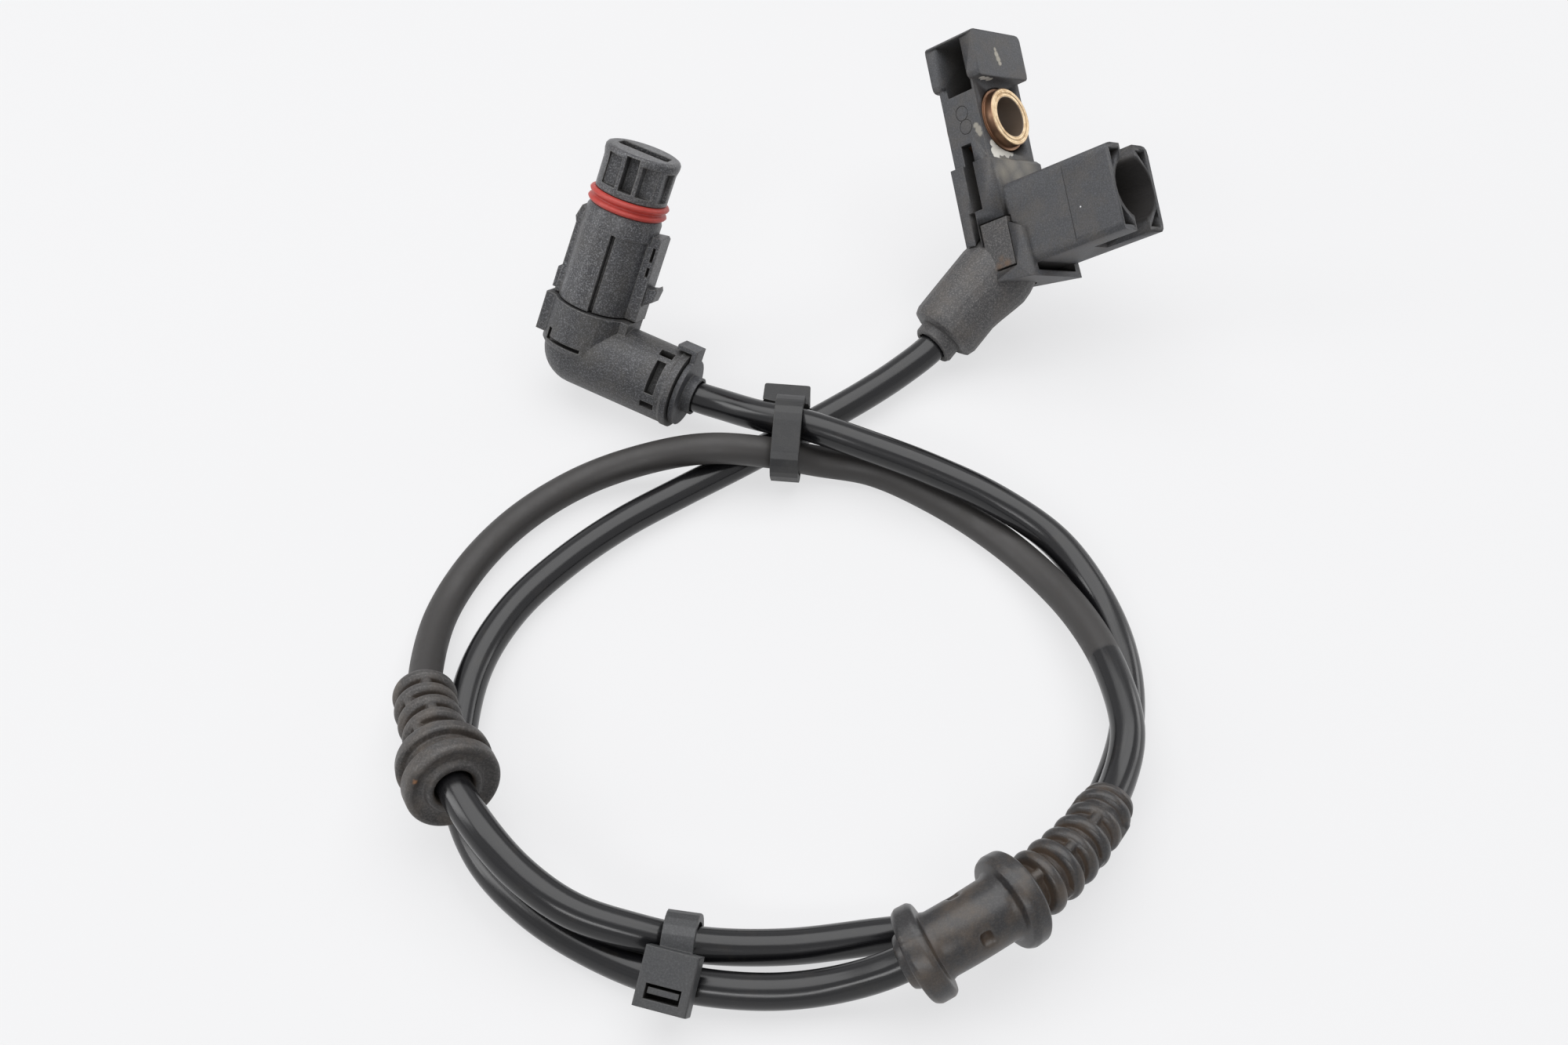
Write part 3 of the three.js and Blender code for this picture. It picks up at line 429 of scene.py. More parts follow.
def moulded(
    name, colour, fleck, dust, dust_share, roughness, grain_mm,
    edge_mm=0.35, bump=0.25, worn=0.3, marks=(), fleck_mm=0.27,
    hollow=0x17140F, hollow_mm=12.0, hollow_from=0.45,
):
    """Nylon or rubber from a steel mould: its skin has a fine grain and pale fibre ends.

    Dust lies on it in patches, its corners are rubbed pale and carry a painted highlight, and its hollows take
    painted shade in near black and dirt in brown. Marks are single spots.
    """
    material, tree = new_material(name)
    where = node(tree, "ShaderNodeTexCoord").outputs["Object"]
    grain = node(
        tree, "ShaderNodeTexNoise",
        {"Scale": per_mm(grain_mm), "Detail": 3.0, "Roughness": 0.65}, {"Vector": where},
    ).outputs["Fac"]
    # Fibre ends are finer than a tenth of a millimetre; they are drawn coarser so that they show
    fibres = node(
        tree, "ShaderNodeTexNoise",
        {"Scale": per_mm(fleck_mm), "Detail": 3.0, "Roughness": 0.8}, {"Vector": where},
    ).outputs["Fac"]
    # Dust gathers in patches about 6 mm wide
    patches = node(
        tree, "ShaderNodeTexNoise", {"Scale": per_mm(6), "Detail": 5.0, "Roughness": 0.7}, {"Vector": where}
    ).outputs["Fac"]
    pale_ends = node(
        tree, "ShaderNodeMapRange", {"From Min": 0.5, "From Max": 0.68}, {"Value": fibres}
    ).outputs[0]
    dark_pits = node(
        tree, "ShaderNodeMapRange",
        {"From Min": 0.34, "From Max": 0.48, "To Min": 0.8, "To Max": 0.0}, {"Value": fibres},
    ).outputs[0]
    dusty = node(
        tree, "ShaderNodeMapRange", {"From Min": 0.45, "From Max": 0.72, "To Max": dust_share},
        {"Value": patches},
    ).outputs[0]
    # Corners are rubbed and carry a painted highlight: where the rounded normal leaves the flat one, the skin
    # is paler
    rounded = node(tree, "ShaderNodeBevel", {"samples": 4, "Radius": edge_mm * MM}).outputs["Normal"]
    flat = node(tree, "ShaderNodeNewGeometry").outputs["Normal"]
    agreeing = node(
        tree, "ShaderNodeVectorMath", {"operation": "DOT_PRODUCT"}, {0: rounded, 1: flat}
    ).outputs["Value"]
    corner = node(
        tree, "ShaderNodeMapRange", {"From Min": 0.99, "From Max": 0.85, "To Max": worn}, {"Value": agreeing}
    ).outputs[0]
    # Bores, pockets and grooves lose their gloss and take the hollow colour: near black is painted shade, brown
    # is dirt
    open_ = node(tree, "ShaderNodeAmbientOcclusion", {"samples": 6, "Distance": hollow_mm * MM}).outputs["AO"]
    deep = node(
        tree, "ShaderNodeMapRange",
        {"From Min": hollow_from, "From Max": hollow_from * 0.45, "To Max": 0.85}, {"Value": open_},
    ).outputs[0]
    layers = [
        (linear(fleck), pale_ends), (shaded(colour, 0.62), dark_pits), (linear(dust), dusty),
        (linear(RUBBED_PALE_AND_HIGHLIGHT), corner),
    ]
    for tone, places, ragged, feather, share in marks:
        layers.append((linear(tone), spots(tree, where, places, ragged, feather, share)))
    skin_colour = layered(tree, linear(colour), layers + [(linear(hollow), deep)])
    gloss = node(
        tree, "ShaderNodeMapRange", {"To Min": roughness - 0.12, "To Max": roughness + 0.15},
        {"Value": patches},
    ).outputs[0]
    rough = node(tree, "ShaderNodeMix", {"data_type": "FLOAT", 3: 1.0}, {0: deep, 2: gloss}).outputs[0]
    relief = node(
        tree, "ShaderNodeBump", {"Strength": bump, "Distance": 0.08 * MM},
        {"Height": grain, "Normal": rounded},
    ).outputs["Normal"]
    shader = node(
        tree, "ShaderNodeBsdfPrincipled", {"IOR": 1.53},
        {"Base Color": skin_colour, "Roughness": rough, "Normal": relief},
    )
    node(tree, "ShaderNodeOutputMaterial", None, {"Surface": shader.outputs["BSDF"]})
    return material


def turned_brass():
    """Brass turned on a lathe: fine rings on its face, brown tarnish in patches, painted shade on its side, and
    a dull dark bore.
    """
    material, tree = new_material("turned_brass_tarnished")
    where = node(tree, "ShaderNodeTexCoord").outputs["Object"]
    # Distance from the bore's axis
    middle = tuple(in_part(head, (0, 5, 0)) * MM)
    outward = node(
        tree, "ShaderNodeVectorMath", {"operation": "SUBTRACT", 1: middle}, {0: where}
    ).outputs["Vector"]
    swept = node(
        tree, "ShaderNodeVectorMath", {"operation": "CROSS_PRODUCT", 1: tuple(head[1][1])}, {0: outward}
    ).outputs["Vector"]
    radius = node(tree, "ShaderNodeVectorMath", {"operation": "LENGTH"}, {0: swept}).outputs["Value"]
    # Tool marks are a tenth of a millimetre apart; they are drawn 0.3 mm apart so that they show
    waves = 2 * math.pi / (0.3 * MM)
    phase = node(tree, "ShaderNodeMath", {"operation": "MULTIPLY", 1: waves}, {0: radius}).outputs[0]
    rings = node(tree, "ShaderNodeMath", {"operation": "SINE"}, {0: phase}).outputs[0]
    stain = node(
        tree, "ShaderNodeTexNoise", {"Scale": per_mm(2), "Detail": 6.0, "Roughness": 0.75}, {"Vector": where}
    ).outputs["Fac"]
    tarnish = node(
        tree, "ShaderNodeMapRange", {"From Min": 0.42, "From Max": 0.68, "To Max": 0.85}, {"Value": stain}
    ).outputs[0]
    tool_lines = node(
        tree, "ShaderNodeMapRange", {"From Min": 0.2, "From Max": 0.9, "To Max": 0.65}, {"Value": rings}
    ).outputs[0]
    bore = node(
        tree, "ShaderNodeMapRange",
        {"From Min": (BUSH_BORE_R + 0.15) * MM, "From Max": (BUSH_BORE_R + 0.08) * MM},
        {"Value": radius},
    ).outputs[0]
    # The ring's outer side is painted dark brown as its shade
    painted_side_shade = node(
        tree, "ShaderNodeMapRange", {"From Min": 5.2 * MM, "From Max": 5.33 * MM, "To Max": 0.9},
        {"Value": radius},
    ).outputs[0]
    brass = layered(tree, linear(0xD9C6A6), [
        (linear(0xA07E58), tarnish), (linear(0x8C6C48), tool_lines), (linear(0x7A5A48), painted_side_shade),
        (linear(0x6A5C50), bore),
    ])
    dull = node(tree, "ShaderNodeMapRange", {"To Min": 1.0, "To Max": 0.15}, {"Value": bore}).outputs[0]
    gloss = node(tree, "ShaderNodeMapRange", {"To Min": 0.3, "To Max": 0.55}, {"Value": stain}).outputs[0]
    rounded = node(tree, "ShaderNodeBevel", {"samples": 4, "Radius": 0.25 * MM}).outputs["Normal"]
    relief = node(
        tree, "ShaderNodeBump", {"Strength": 0.25, "Distance": 0.02 * MM},
        {"Height": rings, "Normal": rounded},
    ).outputs["Normal"]
    shader = node(
        tree, "ShaderNodeBsdfPrincipled", None,
        {"Base Color": brass, "Roughness": gloss, "Normal": relief, "Metallic": dull},
    )
    node(tree, "ShaderNodeOutputMaterial", None, {"Surface": shader.outputs["BSDF"]})
    return material


def plain(name, colour, roughness, metallic=0.0):
    """Small smooth piece, pressed, drawn or moulded: one tone with a faint unevenness in colour and gloss."""
    material, tree = new_material(name)
    where = node(tree, "ShaderNodeTexCoord").outputs["Object"]
    # Unevenness just under a millimetre wide
    uneven = node(
        tree, "ShaderNodeTexNoise", {"Scale": per_mm(0.9), "Detail": 4.0}, {"Vector": where}
    ).outputs["Fac"]
    gloss = node(
        tree, "ShaderNodeMapRange", {"To Min": roughness - 0.1, "To Max": roughness + 0.12}, {"Value": uneven}
    ).outputs[0]
    tone = layered(tree, linear(colour), [(shaded(colour, 0.7), uneven)])
    relief = node(
        tree, "ShaderNodeBump", {"Strength": 0.15, "Distance": 0.05 * MM}, {"Height": uneven}
    ).outputs["Normal"]
    shader = node(
        tree, "ShaderNodeBsdfPrincipled", {"Metallic": metallic},
        {"Base Color": tone, "Roughness": gloss, "Normal": relief},
    )
    node(tree, "ShaderNodeOutputMaterial", None, {"Surface": shader.outputs["BSDF"]})
    return material


def extruded_sheath(matt_from, matt_to):
    """Polyurethane extruded round the cores: glossy black, scratched along it, one stretch worn matt."""
    material, tree = new_material("extruded_polyurethane_sheath")
    where = node(tree, "ShaderNodeUVMap", {"uv_map": "length_and_round"}).outputs["UV"]
    split = node(tree, "ShaderNodeSeparateXYZ", None, {"Vector": where})
    # Scratches 20 mm long and half a millimetre apart; the map is in millimetres
    scale = (0.05, 2.2, 1.0)
    streaked = node(tree, "ShaderNodeMapping", {"Scale": scale}, {"Vector": where}).outputs["Vector"]
    scratches = node(
        tree, "ShaderNodeTexNoise", {"Scale": 1.0, "Detail": 5.0, "Roughness": 0.75}, {"Vector": streaked}
    ).outputs["Fac"]
    # Dust in blotches 4 mm wide
    blotches = node(
        tree, "ShaderNodeTexNoise", {"Scale": 1 / 4, "Detail": 5.0, "Roughness": 0.7}, {"Vector": where}
    ).outputs["Fac"]
    begins = node(
        tree, "ShaderNodeMapRange", {"From Min": matt_from - 6, "From Max": matt_from + 2},
        {"Value": split.outputs["X"]},
    ).outputs[0]
    ends = node(
        tree, "ShaderNodeMapRange", {"From Min": matt_to + 0.7, "From Max": matt_to},
        {"Value": split.outputs["X"]},
    ).outputs[0]
    matt = node(tree, "ShaderNodeMath", {"operation": "MULTIPLY"}, {0: begins, 1: ends}).outputs[0]
    gloss = node(
        tree, "ShaderNodeMapRange", {"From Min": 0.35, "From Max": 0.75, "To Min": 0.12, "To Max": 0.34},
        {"Value": scratches},
    ).outputs[0]
    worn = node(
        tree, "ShaderNodeMapRange", {"From Min": 0.3, "From Max": 0.7, "To Min": 0.42, "To Max": 0.6},
        {"Value": blotches},
    ).outputs[0]
    rough = node(tree, "ShaderNodeMix", {"data_type": "FLOAT"}, {0: matt, 2: gloss, 3: worn}).outputs[0]
    dust = node(
        tree, "ShaderNodeMapRange", {"From Min": 0.55, "From Max": 0.8, "To Max": 0.35}, {"Value": blotches}
    ).outputs[0]
    tone = layered(tree, linear(0x131315), [(linear(0x333130), matt), (linear(0x3A342C), dust)])
    relief = node(
        tree, "ShaderNodeBump", {"Strength": 0.12, "Distance": 0.03 * MM}, {"Height": scratches}
    ).outputs["Normal"]
    shader = node(
        tree, "ShaderNodeBsdfPrincipled", {"IOR": 1.5},
        {"Base Color": tone, "Roughness": rough, "Normal": relief},
    )
    node(tree, "ShaderNodeOutputMaterial", None, {"Surface": shader.outputs["BSDF"]})
    return material


# The cable

sheath = extruded_sheath(matt_from=left_face + 20, matt_to=along([50.6, -34.0, 7.4], 400, 470))


def cable():
    """The one length of cable."""
    steps = np.linspace(0, LENGTH, CABLE_RINGS)
    rings = [ring(s, CABLE_R, CABLE_SIDES) for s in steps]
    mesh = skin("cable_sheath", rings, along_mm=steps)
    piece = put("cable_sheath", mesh, sheath, ["cable"])


cable()

# The grommets


def soften(points, most):
    """Rounds each corner of an open outline, cutting back at most so many millimetres."""
    points = [np.array(p, float) for p in points]
    out = [points[0]]
    for before, corner, after in zip(points, points[1:], points[2:]):
        reach = [min(most, np.linalg.norm(p - corner) * 0.45) for p in (before, after)]
        start = corner + unit(before - corner) * reach[0]
        end = corner + unit(after - corner) * reach[1]
        for t in (0, 0.25, 0.5, 0.75, 1):
            out.append((1 - t) ** 2 * start + 2 * t * (1 - t) * corner + t * t * end)
    return out + [points[-1]]


def finely(points, step):
    """Adds points so that none is further than a step from the next."""
    out = []
    for a, b in zip(points, points[1:]):
        count = max(1, math.ceil(np.linalg.norm(b - a) / step))
        out += [a + (b - a) * i / count for i in range(count)]
    return out + [points[-1]]


def grommet(name, outside, relief, lean=lambda s: 0.0):
    """Rubber piece bent along the cable. Its outline is (distance along the cable, radius) in millimetres.

    relief(s, turn, r) is how far the skin stands off its outline, and lean(s) how steeply a ring's top
    lies back.
    """
    turns = np.linspace(0, 2 * math.pi, RUBBER_SIDES, endpoint=False)
    rings = []
    for s, r in finely(soften(outside, RUBBER_ROUNDING), RUBBER_STEP):
        middle, direction = at(s)
        up, side = across(direction)
        out = np.cos(turns)[:, None] * up + np.sin(turns)[:, None] * side
        radius = np.array([max(r + relief(s, turn, r), BORE_R + 0.1) for turn in turns])
        back = radius * np.cos(turns) * lean(s)
        rings.append(middle + radius[:, None] * out + back[:, None] * direction)
    # Back through the bore, whose ends are slightly bevelled
    bevel = 0.3
    low, high = outside[0][0], outside[-1][0]
    for s in np.linspace(high - bevel, low + bevel, 16):
        rings.append(ring(s, BORE_R, RUBBER_SIDES))
    return skin(name, rings, looped=True)


def near_turn(turn, where, width_mm, radius):
    """1 within so many millimetres of an angle, falling off softly."""
    away = abs((turn - where + math.pi) % (2 * math.pi) - math.pi) * radius
    return 1 / (1 + (away / (width_mm / 2)) ** 6)


def rib_bridges(first, grooves, rib_r, towards, step):
    """Pairs of small webs in the grooves between ribs, turned on by a step from groove to groove."""

    def relief(s, turn, r):
        groove = round((s - first) / RIB_PITCH)
        if not 0 <= groove < grooves or r > rib_r - 0.1:
            return 0
        angle = towards + groove % 2 * step
        share = max(near_turn(turn, angle + half, WEB_WIDTH, r) for half in (0, math.pi))
        return share * max(0, rib_r - 0.35 - r)

    return relief


def left_grommet():
    """Short grommet: a wide face, two flanges and four ribs."""
    s = left_face
    outside = [
        [s + 2.6, 2.9], [s + 0.7, 2.95], [s + 0.1, 3.15], [s - 0.1, 3.4], [s - 0.1, 4.2], [s + 0.3, 4.5],
        [s + 0.55, 4.7], [s + 0.45, 5.7], [s + 0.15, 6.6], [s + 0.2, 7.1], [s + 0.6, 7.4], [s + 2.5, 7.4],
        [s + 2.9, 7.1], [s + 3.0, 6.0], [s + 4.8, 5.9], [s + 4.9, 7.0], [s + 5.2, 7.35], [s + 6.6, 7.2],
        [s + 7.4, 6.5], [s + 7.7, 5.4], [s + 8.8, 4.9], [s + 10.0, 4.7], [s + 10.5, 3.9],
    ]
    for i in range(4):
        c = s + 13 + i * RIB_PITCH
        outside += [[c - 1.2, 3.5], [c - 1.1, 4.4], [c - 0.6, 4.95], [c, 5.05]]
        outside += [[c + 0.6, 4.9], [c + 1.0, 4.3], [c + 1.1, 3.5]]
    outside += [[s + 25.0, 3.7], [s + 25.3, 3.2]]
    webs = rib_bridges(s + 11.25, 4, 5.0, math.radians(-34), math.radians(44))

    def lean(along_cable):
        """The big face looks up at the camera more than the cable does."""
        return 0.17 * min(1, max(0, (s + 2.9 - along_cable) / 2))

    return grommet("left_grommet_rubber", outside, webs, lean)


def right_grommet():
    """Long grommet: six ribs, a flange, a barrel with two holes, and a hub with a second flange."""
    hub = right_hub
    outside = [[hub - 43.7, 3.1], [hub - 43.6, 3.7], [hub - 42.6, 4.0]]
    for i, r in enumerate([4.35, 4.5, 4.7, 4.85, 5.05, 5.15]):
        c = hub - 40.8 + i * RIB_PITCH
        outside += [[c - 1.2, 3.4], [c - 1.1, r - 0.7], [c - 0.6, r - 0.12], [c, r], [c + 0.6, r - 0.12]]
        outside += [[c + 1.0, r - 0.7], [c + 1.1, 3.4]]
    outside += [
        [hub - 21.4, 3.7], [hub - 20.6, 4.7], [hub - 19.9, 4.9], [hub - 19.8, 6.8], [hub - 19.4, 7.3],
        [hub - 17.6, 7.4], [hub - 16.7, 7.0], [hub - 16.4, 5.4], [hub - 15.6, 5.1], [hub - 5.8, 5.05],
        [hub - 5.1, 5.3], [hub - 4.9, 6.9], [hub - 4.3, 7.35], [hub - 2.4, 7.4], [hub - 1.7, 7.0],
        [hub - 1.6, 6.3], [hub - 1.9, 5.6], [hub - 1.9, 4.6], [hub - 0.6, 4.2], [hub, 3.9], [hub, 3.1],
    ]
    webs = rib_bridges(hub - 39.05, 6, 4.8, math.radians(84), math.radians(90))
    holes = [(hub - 11.2, math.radians(-56)), (hub - 10.7, math.radians(56))]
    slits = [(hub - 3.3, math.radians(-4)), (hub - 18.0, math.radians(-2))]
    hole_depth, hole_width, hole_half_length = 1.5, 1.7, 0.7
    slit_depth, slit_width, slit_half_length = 0.25, 0.28, 1.7

    def relief(s, turn, r):
        height = webs(s, turn, r)
        for place_, angle in holes:
            falls_off = 1 + ((s - place_) / hole_half_length) ** 6
            height -= hole_depth * near_turn(turn, angle, hole_width, r) / falls_off
        for place_, angle in slits:
            if abs(s - place_) < slit_half_length:
                height -= slit_depth * near_turn(turn, angle, slit_width, r)
        return height

    return grommet("right_grommet_rubber", outside, relief)


# Spots of dirt and wear: tone, places with their reach, how ragged, how soft, and how strong
LEFT_GROMMET_MARKS = [
    (0x1C1815, [(-56.4, -59.9, 19.2, 1.0), (-56.2, -60.0, 18.0, 0.9)], 0.9, 0.5, 0.6),
    (0x9C6C42, [(-56.3, -60.0, 18.5, 0.35), (-56.0, -60.1, 18.1, 0.25)], 0.9, 0.2, 0.8),
]
# Soft black rubber, moulded. The left grommet is dusty and grey, with brown dirt in its grooves
dusty_rubber = moulded(
    "moulded_rubber_dusty_grommet", colour=0x393736, fleck=0x5C5957, dust=0x6B6157, dust_share=0.5,
    roughness=0.45, grain_mm=0.3, edge_mm=0.25, bump=0.35, worn=0.4, marks=LEFT_GROMMET_MARKS,
    fleck_mm=0.35, hollow=0x40362D, hollow_mm=2.5, hollow_from=0.72,
)
# The right one is darker and shines more
rubber = moulded(
    "moulded_rubber_grommet", colour=0x262526, fleck=0x3B3A3A, dust=0x5F5040, dust_share=0.5,
    roughness=0.33, grain_mm=0.25, edge_mm=0.25, bump=0.2, worn=0.35,
    fleck_mm=0.3, hollow=0x5C4B3C, hollow_mm=2.5, hollow_from=0.72,
)
put("left_grommet_rubber", left_grommet(), dusty_rubber, ["left_grommet"])
put("right_grommet_rubber", right_grommet(), rubber, ["right_grommet"])

# The elbow plug's body and seal, the bush and the carrier


def plug_body():
    """Barrel and nose in one, with everything that stands on them and is cut into them."""
    outside = [
        (8.3, 6.3), (22.4, 6.3), (22.4, 6.75), (25.2, 6.75), (26.1, 6.4), (26.1, 5.7), (28.95, 5.7),
        (28.95, 6.45), (34.4, 6.5), (35.5, 6.75), (36.2, 6.75), (36.6, 6.5), (36.8, 6.05),
    ]
    body = turned(elbow, 0, (0, 0, 0), outside)
    # The proud half, the shoulder and the plate on the side away from the cable
    sleeve = turned(elbow, 0, (0, 0, 0), [(8.3, 6.8), (22.8, 6.8)])
    proud = cut(sleeve, [block(elbow, (7, -9, -9), (24, 1.1, 9))], "INTERSECT")
    shoulder = slab(
        elbow, [(8.3, -4), (8.3, -7.4), (21.2, -7.3), (22.2, -7.7), (24.4, -7.1), (25.2, -6.2), (25.2, -4)],
        -2.3, 3.2,
    )
    plate = slab(elbow, [(8.3, -5), (8.3, -8.7), (12.0, -8.7), (12.8, -7.9), (12.9, -5)], -0.4, 3.0)
    # Latch rail towards the cable, with two holes through it and the hook
    rail = slab(elbow, [(8.3, 4), (8.3, 8.3), (23.5, 8.3), (23.9, 7.9), (23.2, 4)], -1.3, 3.2)
    rail_holes = [((19.3, 7.3, -4), (21.9, 7.8, 5)), ((16.6, 7.3, -4), (18.3, 7.8, 5))]
    rail = cut(rail, [block(elbow, low, high) for low, high in rail_holes])
    hook = slab(
        elbow, [(10.6, 7.9), (14.4, 7.9), (14.9, 9.6), (15.3, 9.9), (14.6, 10.2), (12.6, 9.9), (11.6, 8.6)],
        -0.6, 2.4,
    )
    body = cut(body, [proud, shoulder, plate, rail, hook], "UNION")
    seam = block(elbow, (7, 1.1, -9), (22.5, 1.75, -5.3))
    # The mouth's outline lies across the plug, and its depth along it
    mouth_outline = [
        (-4.2, -1.5), (4.4, -1.5), (4.85, -1.1), (4.6, 1.8), (4.1, 2.2), (-4.3, 2.2), (-4.8, 1.8),
        (-4.8, -1.0),
    ]
    mouth = slab((elbow[0], elbow[1][[1, 2, 0]]), mouth_outline, 27.8, 38)
    # Keyways round the nose, each with its two corners: along the plug, across it, and how deep
    keys = [
        ((30.2, -3.95, -9), (35.8, -1.1, -4.7)), ((30.1, -0.35, -9), (36.35, 2.05, -4.4)),
        ((30.0, 2.7, -9), (35.4, 5.25, -3.9)), ((29.7, 5.75, -3.3), (35.0, 9, -0.2)),
        ((30.2, -4.4, 4.4), (35.6, -1.6, 9)), ((30.2, 1.6, 4.4), (35.6, 4.4, 9)),
        ((30.2, -9, -1.6), (35.6, -5.8, 1.6)),
    ]
    return smooth_but_edges(cut(body, [seam, mouth] + [block(elbow, low, high) for low, high in keys]))


def plug_seal():
    """Ring with two thin lips."""
    profile = [
        (-1.3, 5.75), (-1.3, 6.5), (-1.05, 6.9), (-0.75, 7.1), (-0.45, 6.95), (-0.25, 6.5), (0.0, 6.35),
        (0.2, 6.55), (0.45, 7.0), (0.75, 7.15), (1.05, 6.95), (1.3, 6.5), (1.3, 5.75),
    ]
    return turned(elbow, 0, (SEAL_AT, 0, 0), profile, looped=True)


def bush():
    """Flat ring round the bolt's way, with a fine step on its face."""
    profile = [
        (9.35, 5.35), (9.5, 5.2), (9.5, 4.6), (9.4, 4.55), (9.4, 4.45), (9.5, 4.4), (9.5, 3.85),
        (9.35, BUSH_BORE_R), (-0.75, BUSH_BORE_R), (-0.9, 3.8), (-0.9, 5.65), (-0.75, 5.8), (7.7, 5.8),
        (7.75, 5.35),
    ]
    return smooth_but_edges(facing_out(turned(head, 1, (0, 0, 0), profile, looped=True)))


def carrier():
    """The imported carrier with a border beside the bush, ejector marks and the socket's faint parting line."""
    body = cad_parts["sensor_carrier"].data.copy()
    outline = [(-6.78, 7.0), (-6.78, 7.4), (-6.4, 7.6), (-6.0, 7.5), (-5.5, 7.2), (-5.5, 7.0)]
    border = slab((head[0], head[1][[2, 1, 0]]), outline, -7.6, 7.3)
    parting_line = block(head, (-29, 21.75, -6.5), (-12, 21.9, -6.15))
    rings = []
    groove = [(-0.3, 1.25), (-0.3, 1.4), (0.14, 1.4), (0.14, 1.25)]
    for point in [(29.2, 73.1, 32.9), (29.9, 70.9, 31.7)]:
        spot = head[1] @ (np.array(point) - ROUTE_SHIFT - head[0])
        rings.append(turned(head, 2, (spot[0], spot[1], -6.8), groove, sides=48, looped=True))
    return smooth_but_edges(cut(cut(body, [border], "UNION"), [parting_line] + rings))


# Table, light and the rest of the picture


def seen_directly(tree):
    """1 for what the camera sees straight or in a reflection, 0 for light that falls on the piece."""
    rays = node(tree, "ShaderNodeLightPath").outputs
    return node(
        tree, "ShaderNodeMath", {"operation": "MAXIMUM"}, {0: rays["Is Camera Ray"], 1: rays["Is Glossy Ray"]}
    ).outputs[0]


def table():
    """Smooth pale laminate, pressed: an even, faintly shaded ground."""
    half = 3.0
    backdrop_share = 0.74
    mesh = bpy.data.meshes.new("table")
    corners = [(-half, -half, 0), (half, -half, 0), (half, half, 0), (-half, half, 0)]
    mesh.from_pydata(corners, [], [(0, 1, 2, 3)])
    piece = bpy.data.objects.new("table", mesh)
    bpy.context.scene.collection.objects.link(piece)
    material, tree = new_material("white_laminate")
    laminate = node(
        tree, "ShaderNodeBsdfPrincipled",
        {"Base Color": linear(0xF0F0F1), "Roughness": 0.6, "Specular IOR Level": 0.2},
    )
    # The photograph's background is nearly even, with light wide shadows
    backdrop = node(tree, "ShaderNodeEmission", {"Color": linear(0xF3F3F4), "Strength": 1.0})
    share = node(
        tree, "ShaderNodeMath", {"operation": "MULTIPLY", 1: backdrop_share}, {0: seen_directly(tree)}
    ).outputs[0]
    floor = node(
        tree, "ShaderNodeMixShader", None,
        {0: share, 1: laminate.outputs["BSDF"], 2: backdrop.outputs["Emission"]},
    )
    node(tree, "ShaderNodeOutputMaterial", None, {"Surface": floor.outputs[0]})
    mesh.materials.append(material)


def softbox(name, at_, towards, size, power):
    """A rectangle of light that faces a point; metres and watts."""
    data = bpy.data.lights.new(name, "AREA")
    data.shape = "RECTANGLE"
    data.size, data.size_y = size
    data.energy = power
    lamp = bpy.data.objects.new(name, data)
    lamp.location = at_
    lamp.rotation_euler = (Vector(towards) - Vector(at_)).to_track_quat("-Z", "Y").to_euler()
    bpy.context.scene.collection.objects.link(lamp)


def light():
    """Wide soft lamps in a pale room, so that the shadows are weak."""
    softbox("overhead_diffuser", (0, 0.3, 1.3), (0, 0, 0), (2.0, 1.5), 20)
    softbox("front_softbox", (-0.25, -1.3, 0.95), (0, 0, 0), (1.1, 0.3), 6)
    softbox("left_softbox", (-1.5, -0.1, 0.8), (0, 0, 0), (0.5, 1.2), 7)
    softbox("right_softbox", (1.4, 0.75, 0.3), (0, 0, 0.02), (0.9, 0.5), 3.2)
    world = bpy.data.worlds.new("studio")
    world.use_nodes = True
    tree = world.node_tree
    tree.nodes.clear()
    # The room gives little light, and is pale where it is seen
    dim = node(tree, "ShaderNodeBackground", {"Color": linear(0xDADCE0), "Strength": 0.2})
    pale = node(tree, "ShaderNodeBackground", {"Color": linear(0xF0F0F2), "Strength": 0.8})
    room = node(
        tree, "ShaderNodeMixShader", None, {0: seen_directly(tree), 1: dim.outputs[0], 2: pale.outputs[0]}
    )
    node(tree, "ShaderNodeOutputWorld", None, {"Surface": room.outputs[0]})
    bpy.context.scene.world = world
    bpy.context.scene.view_settings.view_transform = "Standard"


table()
light()
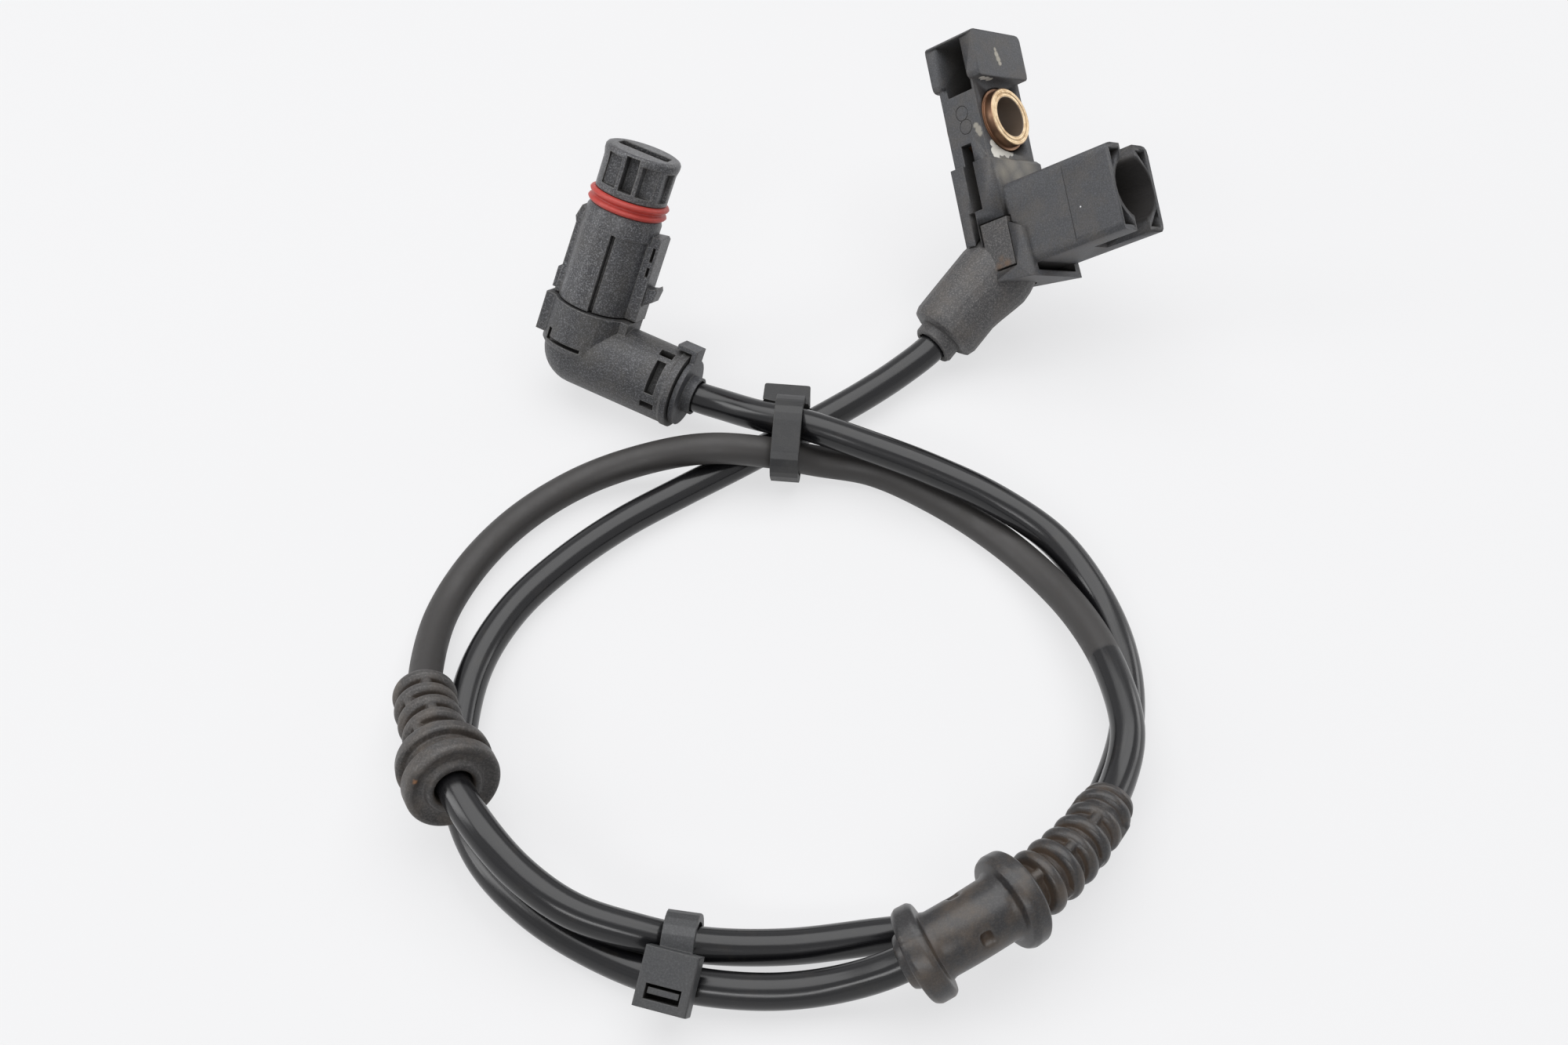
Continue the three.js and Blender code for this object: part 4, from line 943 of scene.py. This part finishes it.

# Marks, painted shade and a painted glint on the carrier, in millimetres in the part's frame
CARRIER_MARKS_SHADE_AND_GLINT = [
    # Painted shade inside the socket's bore, out to a painted shadow line round its mouth
    (0x1E1B1A, [(*in_part(head, (-20.65, b, 0.1)), 6.05) for b in (13, 16, 19, 22, 25, 28, 30.3)],
     0.1, 0.25, 0.9),
    # Dust and pale chips where the neck widens below the bush
    (0x8A857A, [
        (38.0, 65.7, 27.7, 2.2), (41.2, 67.8, 25.2, 1.8), (36.4, 62.6, 28.2, 1.4), (39.5, 64.5, 25.6, 1.8),
    ], 1.5, 1.6, 0.7),
    (0xDAD7CF, [
        (34.9, 66.6, 29.8, 0.9), (34.6, 67.7, 30.5, 0.8), (35.3, 66.3, 29.3, 0.9), (36.2, 67.7, 28.8, 1.0),
        (37.4, 68.3, 27.9, 0.9), (35.5, 67.4, 29.5, 0.9), (36.0, 69.0, 29.2, 0.8), (38.2, 69.2, 27.2, 0.7),
    ], 0.9, 0.08, 1.0),
    # Chips and scrapes beside the bush and up to the cap
    (0xC9C5BC, [
        (32.7, 76.9, 38.0, 0.6), (33.3, 77.5, 37.4, 0.8), (34.2, 78.2, 36.6, 0.7), (33.6, 76.8, 37.0, 0.7),
        (34.4, 77.2, 36.2, 0.6),
    ], 0.8, 0.08, 1.0),
    # A painted bluish glint beside the bush, not a chip
    (0xD3D8E0, [(34.3, 75.9, 36.4, 0.7), (34.9, 76.4, 36.2, 0.6), (33.8, 74.9, 36.0, 0.5)], 0.6, 0.1, 0.9),
    (0xB5AFA2, [
        (35.3, 83.1, 39.5, 0.35), (35.6, 82.4, 38.9, 0.55), (35.9, 81.8, 38.3, 0.6), (36.2, 81.3, 37.8, 0.45),
    ], 0.6, 0.15, 0.8),
    (0xA59F93, [(31.6, 69.9, 32.9, 0.5), (32.0, 69.1, 32.6, 0.7), (32.3, 68.4, 32.3, 0.5)], 0.6, 0.15, 0.75),
    # Two white specks
    (0xE6E6E6, [(48.4, 48.4, 32.8, 0.14), (33.0, 71.5, 33.6, 0.1)], 0.1, 0.05, 1.0),
    # Brown dirt next to the boot
    (0x6B5A48, [(35.9, 51.0, 20.5, 2.2), (37.0, 48.8, 19.5, 1.4)], 1.5, 1.2, 0.4),
]
# Painted shade in the plug's mouth, between its walls
PLUG_MOUTH_SHADE = [
    (0x1B1A19, [(*in_part(elbow, (33.4, q, 0.5)), 3.1) for q in (-3.4, -1.7, 0, 1.7, 3.4)], 0.1, 0.4, 0.85),
]
# Brown dirt on the boot, next to the carrier
BOOT_MARKS = [
    (0x6B5440, [(35.6, 48.7, 18.4, 0.7), (36.8, 48.3, 19.7, 0.7), (36.2, 49.6, 19.3, 0.6)], 1.0, 0.4, 0.7),
]
FINISHES = {
    # Nylon from a worn mould: matt charcoal grey, dusty, with painted shade in its deep socket
    "sensor_carrier": moulded(
        "moulded_nylon_carrier", colour=0x3C3D40, fleck=0x55565A, dust=0x6A6258, dust_share=0.35,
        roughness=0.55, grain_mm=0.25, marks=CARRIER_MARKS_SHADE_AND_GLINT, hollow_from=0.58,
    ),
    # Moulded over the cable afterwards, at low pressure: rough, with soft corners
    "boot_overmould": moulded(
        "overmoulded_nylon_boot", colour=0x3F3E3F, fleck=0x72706E, dust=0x6A625A, dust_share=0.35,
        roughness=0.5, grain_mm=0.3, edge_mm=0.5, bump=0.5, marks=BOOT_MARKS, fleck_mm=0.3,
    ),
    # Nylon with glass fibres: harder, more shiny, with pale fibre ends and pale rubbed corners that carry a
    # painted highlight
    "plug_body": moulded(
        "glass_filled_nylon_plug", colour=0x353538, fleck=0x86878A, dust=0x5C5850, dust_share=0.3,
        roughness=0.38, grain_mm=0.22, worn=0.6, marks=PLUG_MOUTH_SHADE,
    ),
    # The same for the shell, a little darker and duller
    "elbow_cover": moulded(
        "glass_filled_nylon_elbow", colour=0x2F2F31, fleck=0x707174, dust=0x5B564D, dust_share=0.35,
        roughness=0.46, grain_mm=0.25, worn=0.5,
    ),
    # and for the insert, which is handled less and holds less dust
    "cable_retainer": moulded(
        "glass_filled_nylon_retainer", colour=0x35363A, fleck=0x6E7074, dust=0x55524C, dust_share=0.2,
        roughness=0.5, grain_mm=0.25, worn=0.5,
    ),
    # Smooth black nylon of the ties; the lower one is bleached grey
    "upper_tie": moulded(
        "moulded_nylon_upper_tie", colour=0x101113, fleck=0x1E1F22, dust=0x504E4A, dust_share=0.2,
        roughness=0.42, grain_mm=0.4, edge_mm=0.3, bump=0.15, worn=0.2,
    ),
    "lower_tie": moulded(
        "moulded_nylon_lower_tie", colour=0x303133, fleck=0x444547, dust=0x504E4A, dust_share=0.2,
        roughness=0.45, grain_mm=0.4, edge_mm=0.3, bump=0.15, worn=0.2,
    ),
    "bolt_bush": turned_brass(),
    # Silicone from a polished mould: soft red with a satin gloss
    "plug_seal": plain("silicone_seal", 0xC4453C, 0.42),
}
# Stamped brass strip, tinned: pale grey metal with a soft shine
contact = plain("tinned_contact", 0xB9B4A4, 0.3, 1.0)
# Extruded insulation of a thin wire: smooth and brown
core = plain("insulated_core", 0x6B4A2C, 0.5)
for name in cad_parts:
    if "_pin_" in name:
        FINISHES[name] = contact
    if "_core_" in name:
        FINISHES[name] = core

put("plug_body_moulded", plug_body(), FINISHES["plug_body"], ["plug_body"])
put("plug_seal_lips", plug_seal(), FINISHES["plug_seal"], ["plug_seal"])
put("carrier_moulded", carrier(), FINISHES["sensor_carrier"], ["sensor_carrier"])
put("bush_turned", bush(), FINISHES["bolt_bush"], ["bolt_bush"])
for name, material in FINISHES.items():
    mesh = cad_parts[name].data
    mesh.materials.clear()
    mesh.materials.append(material)
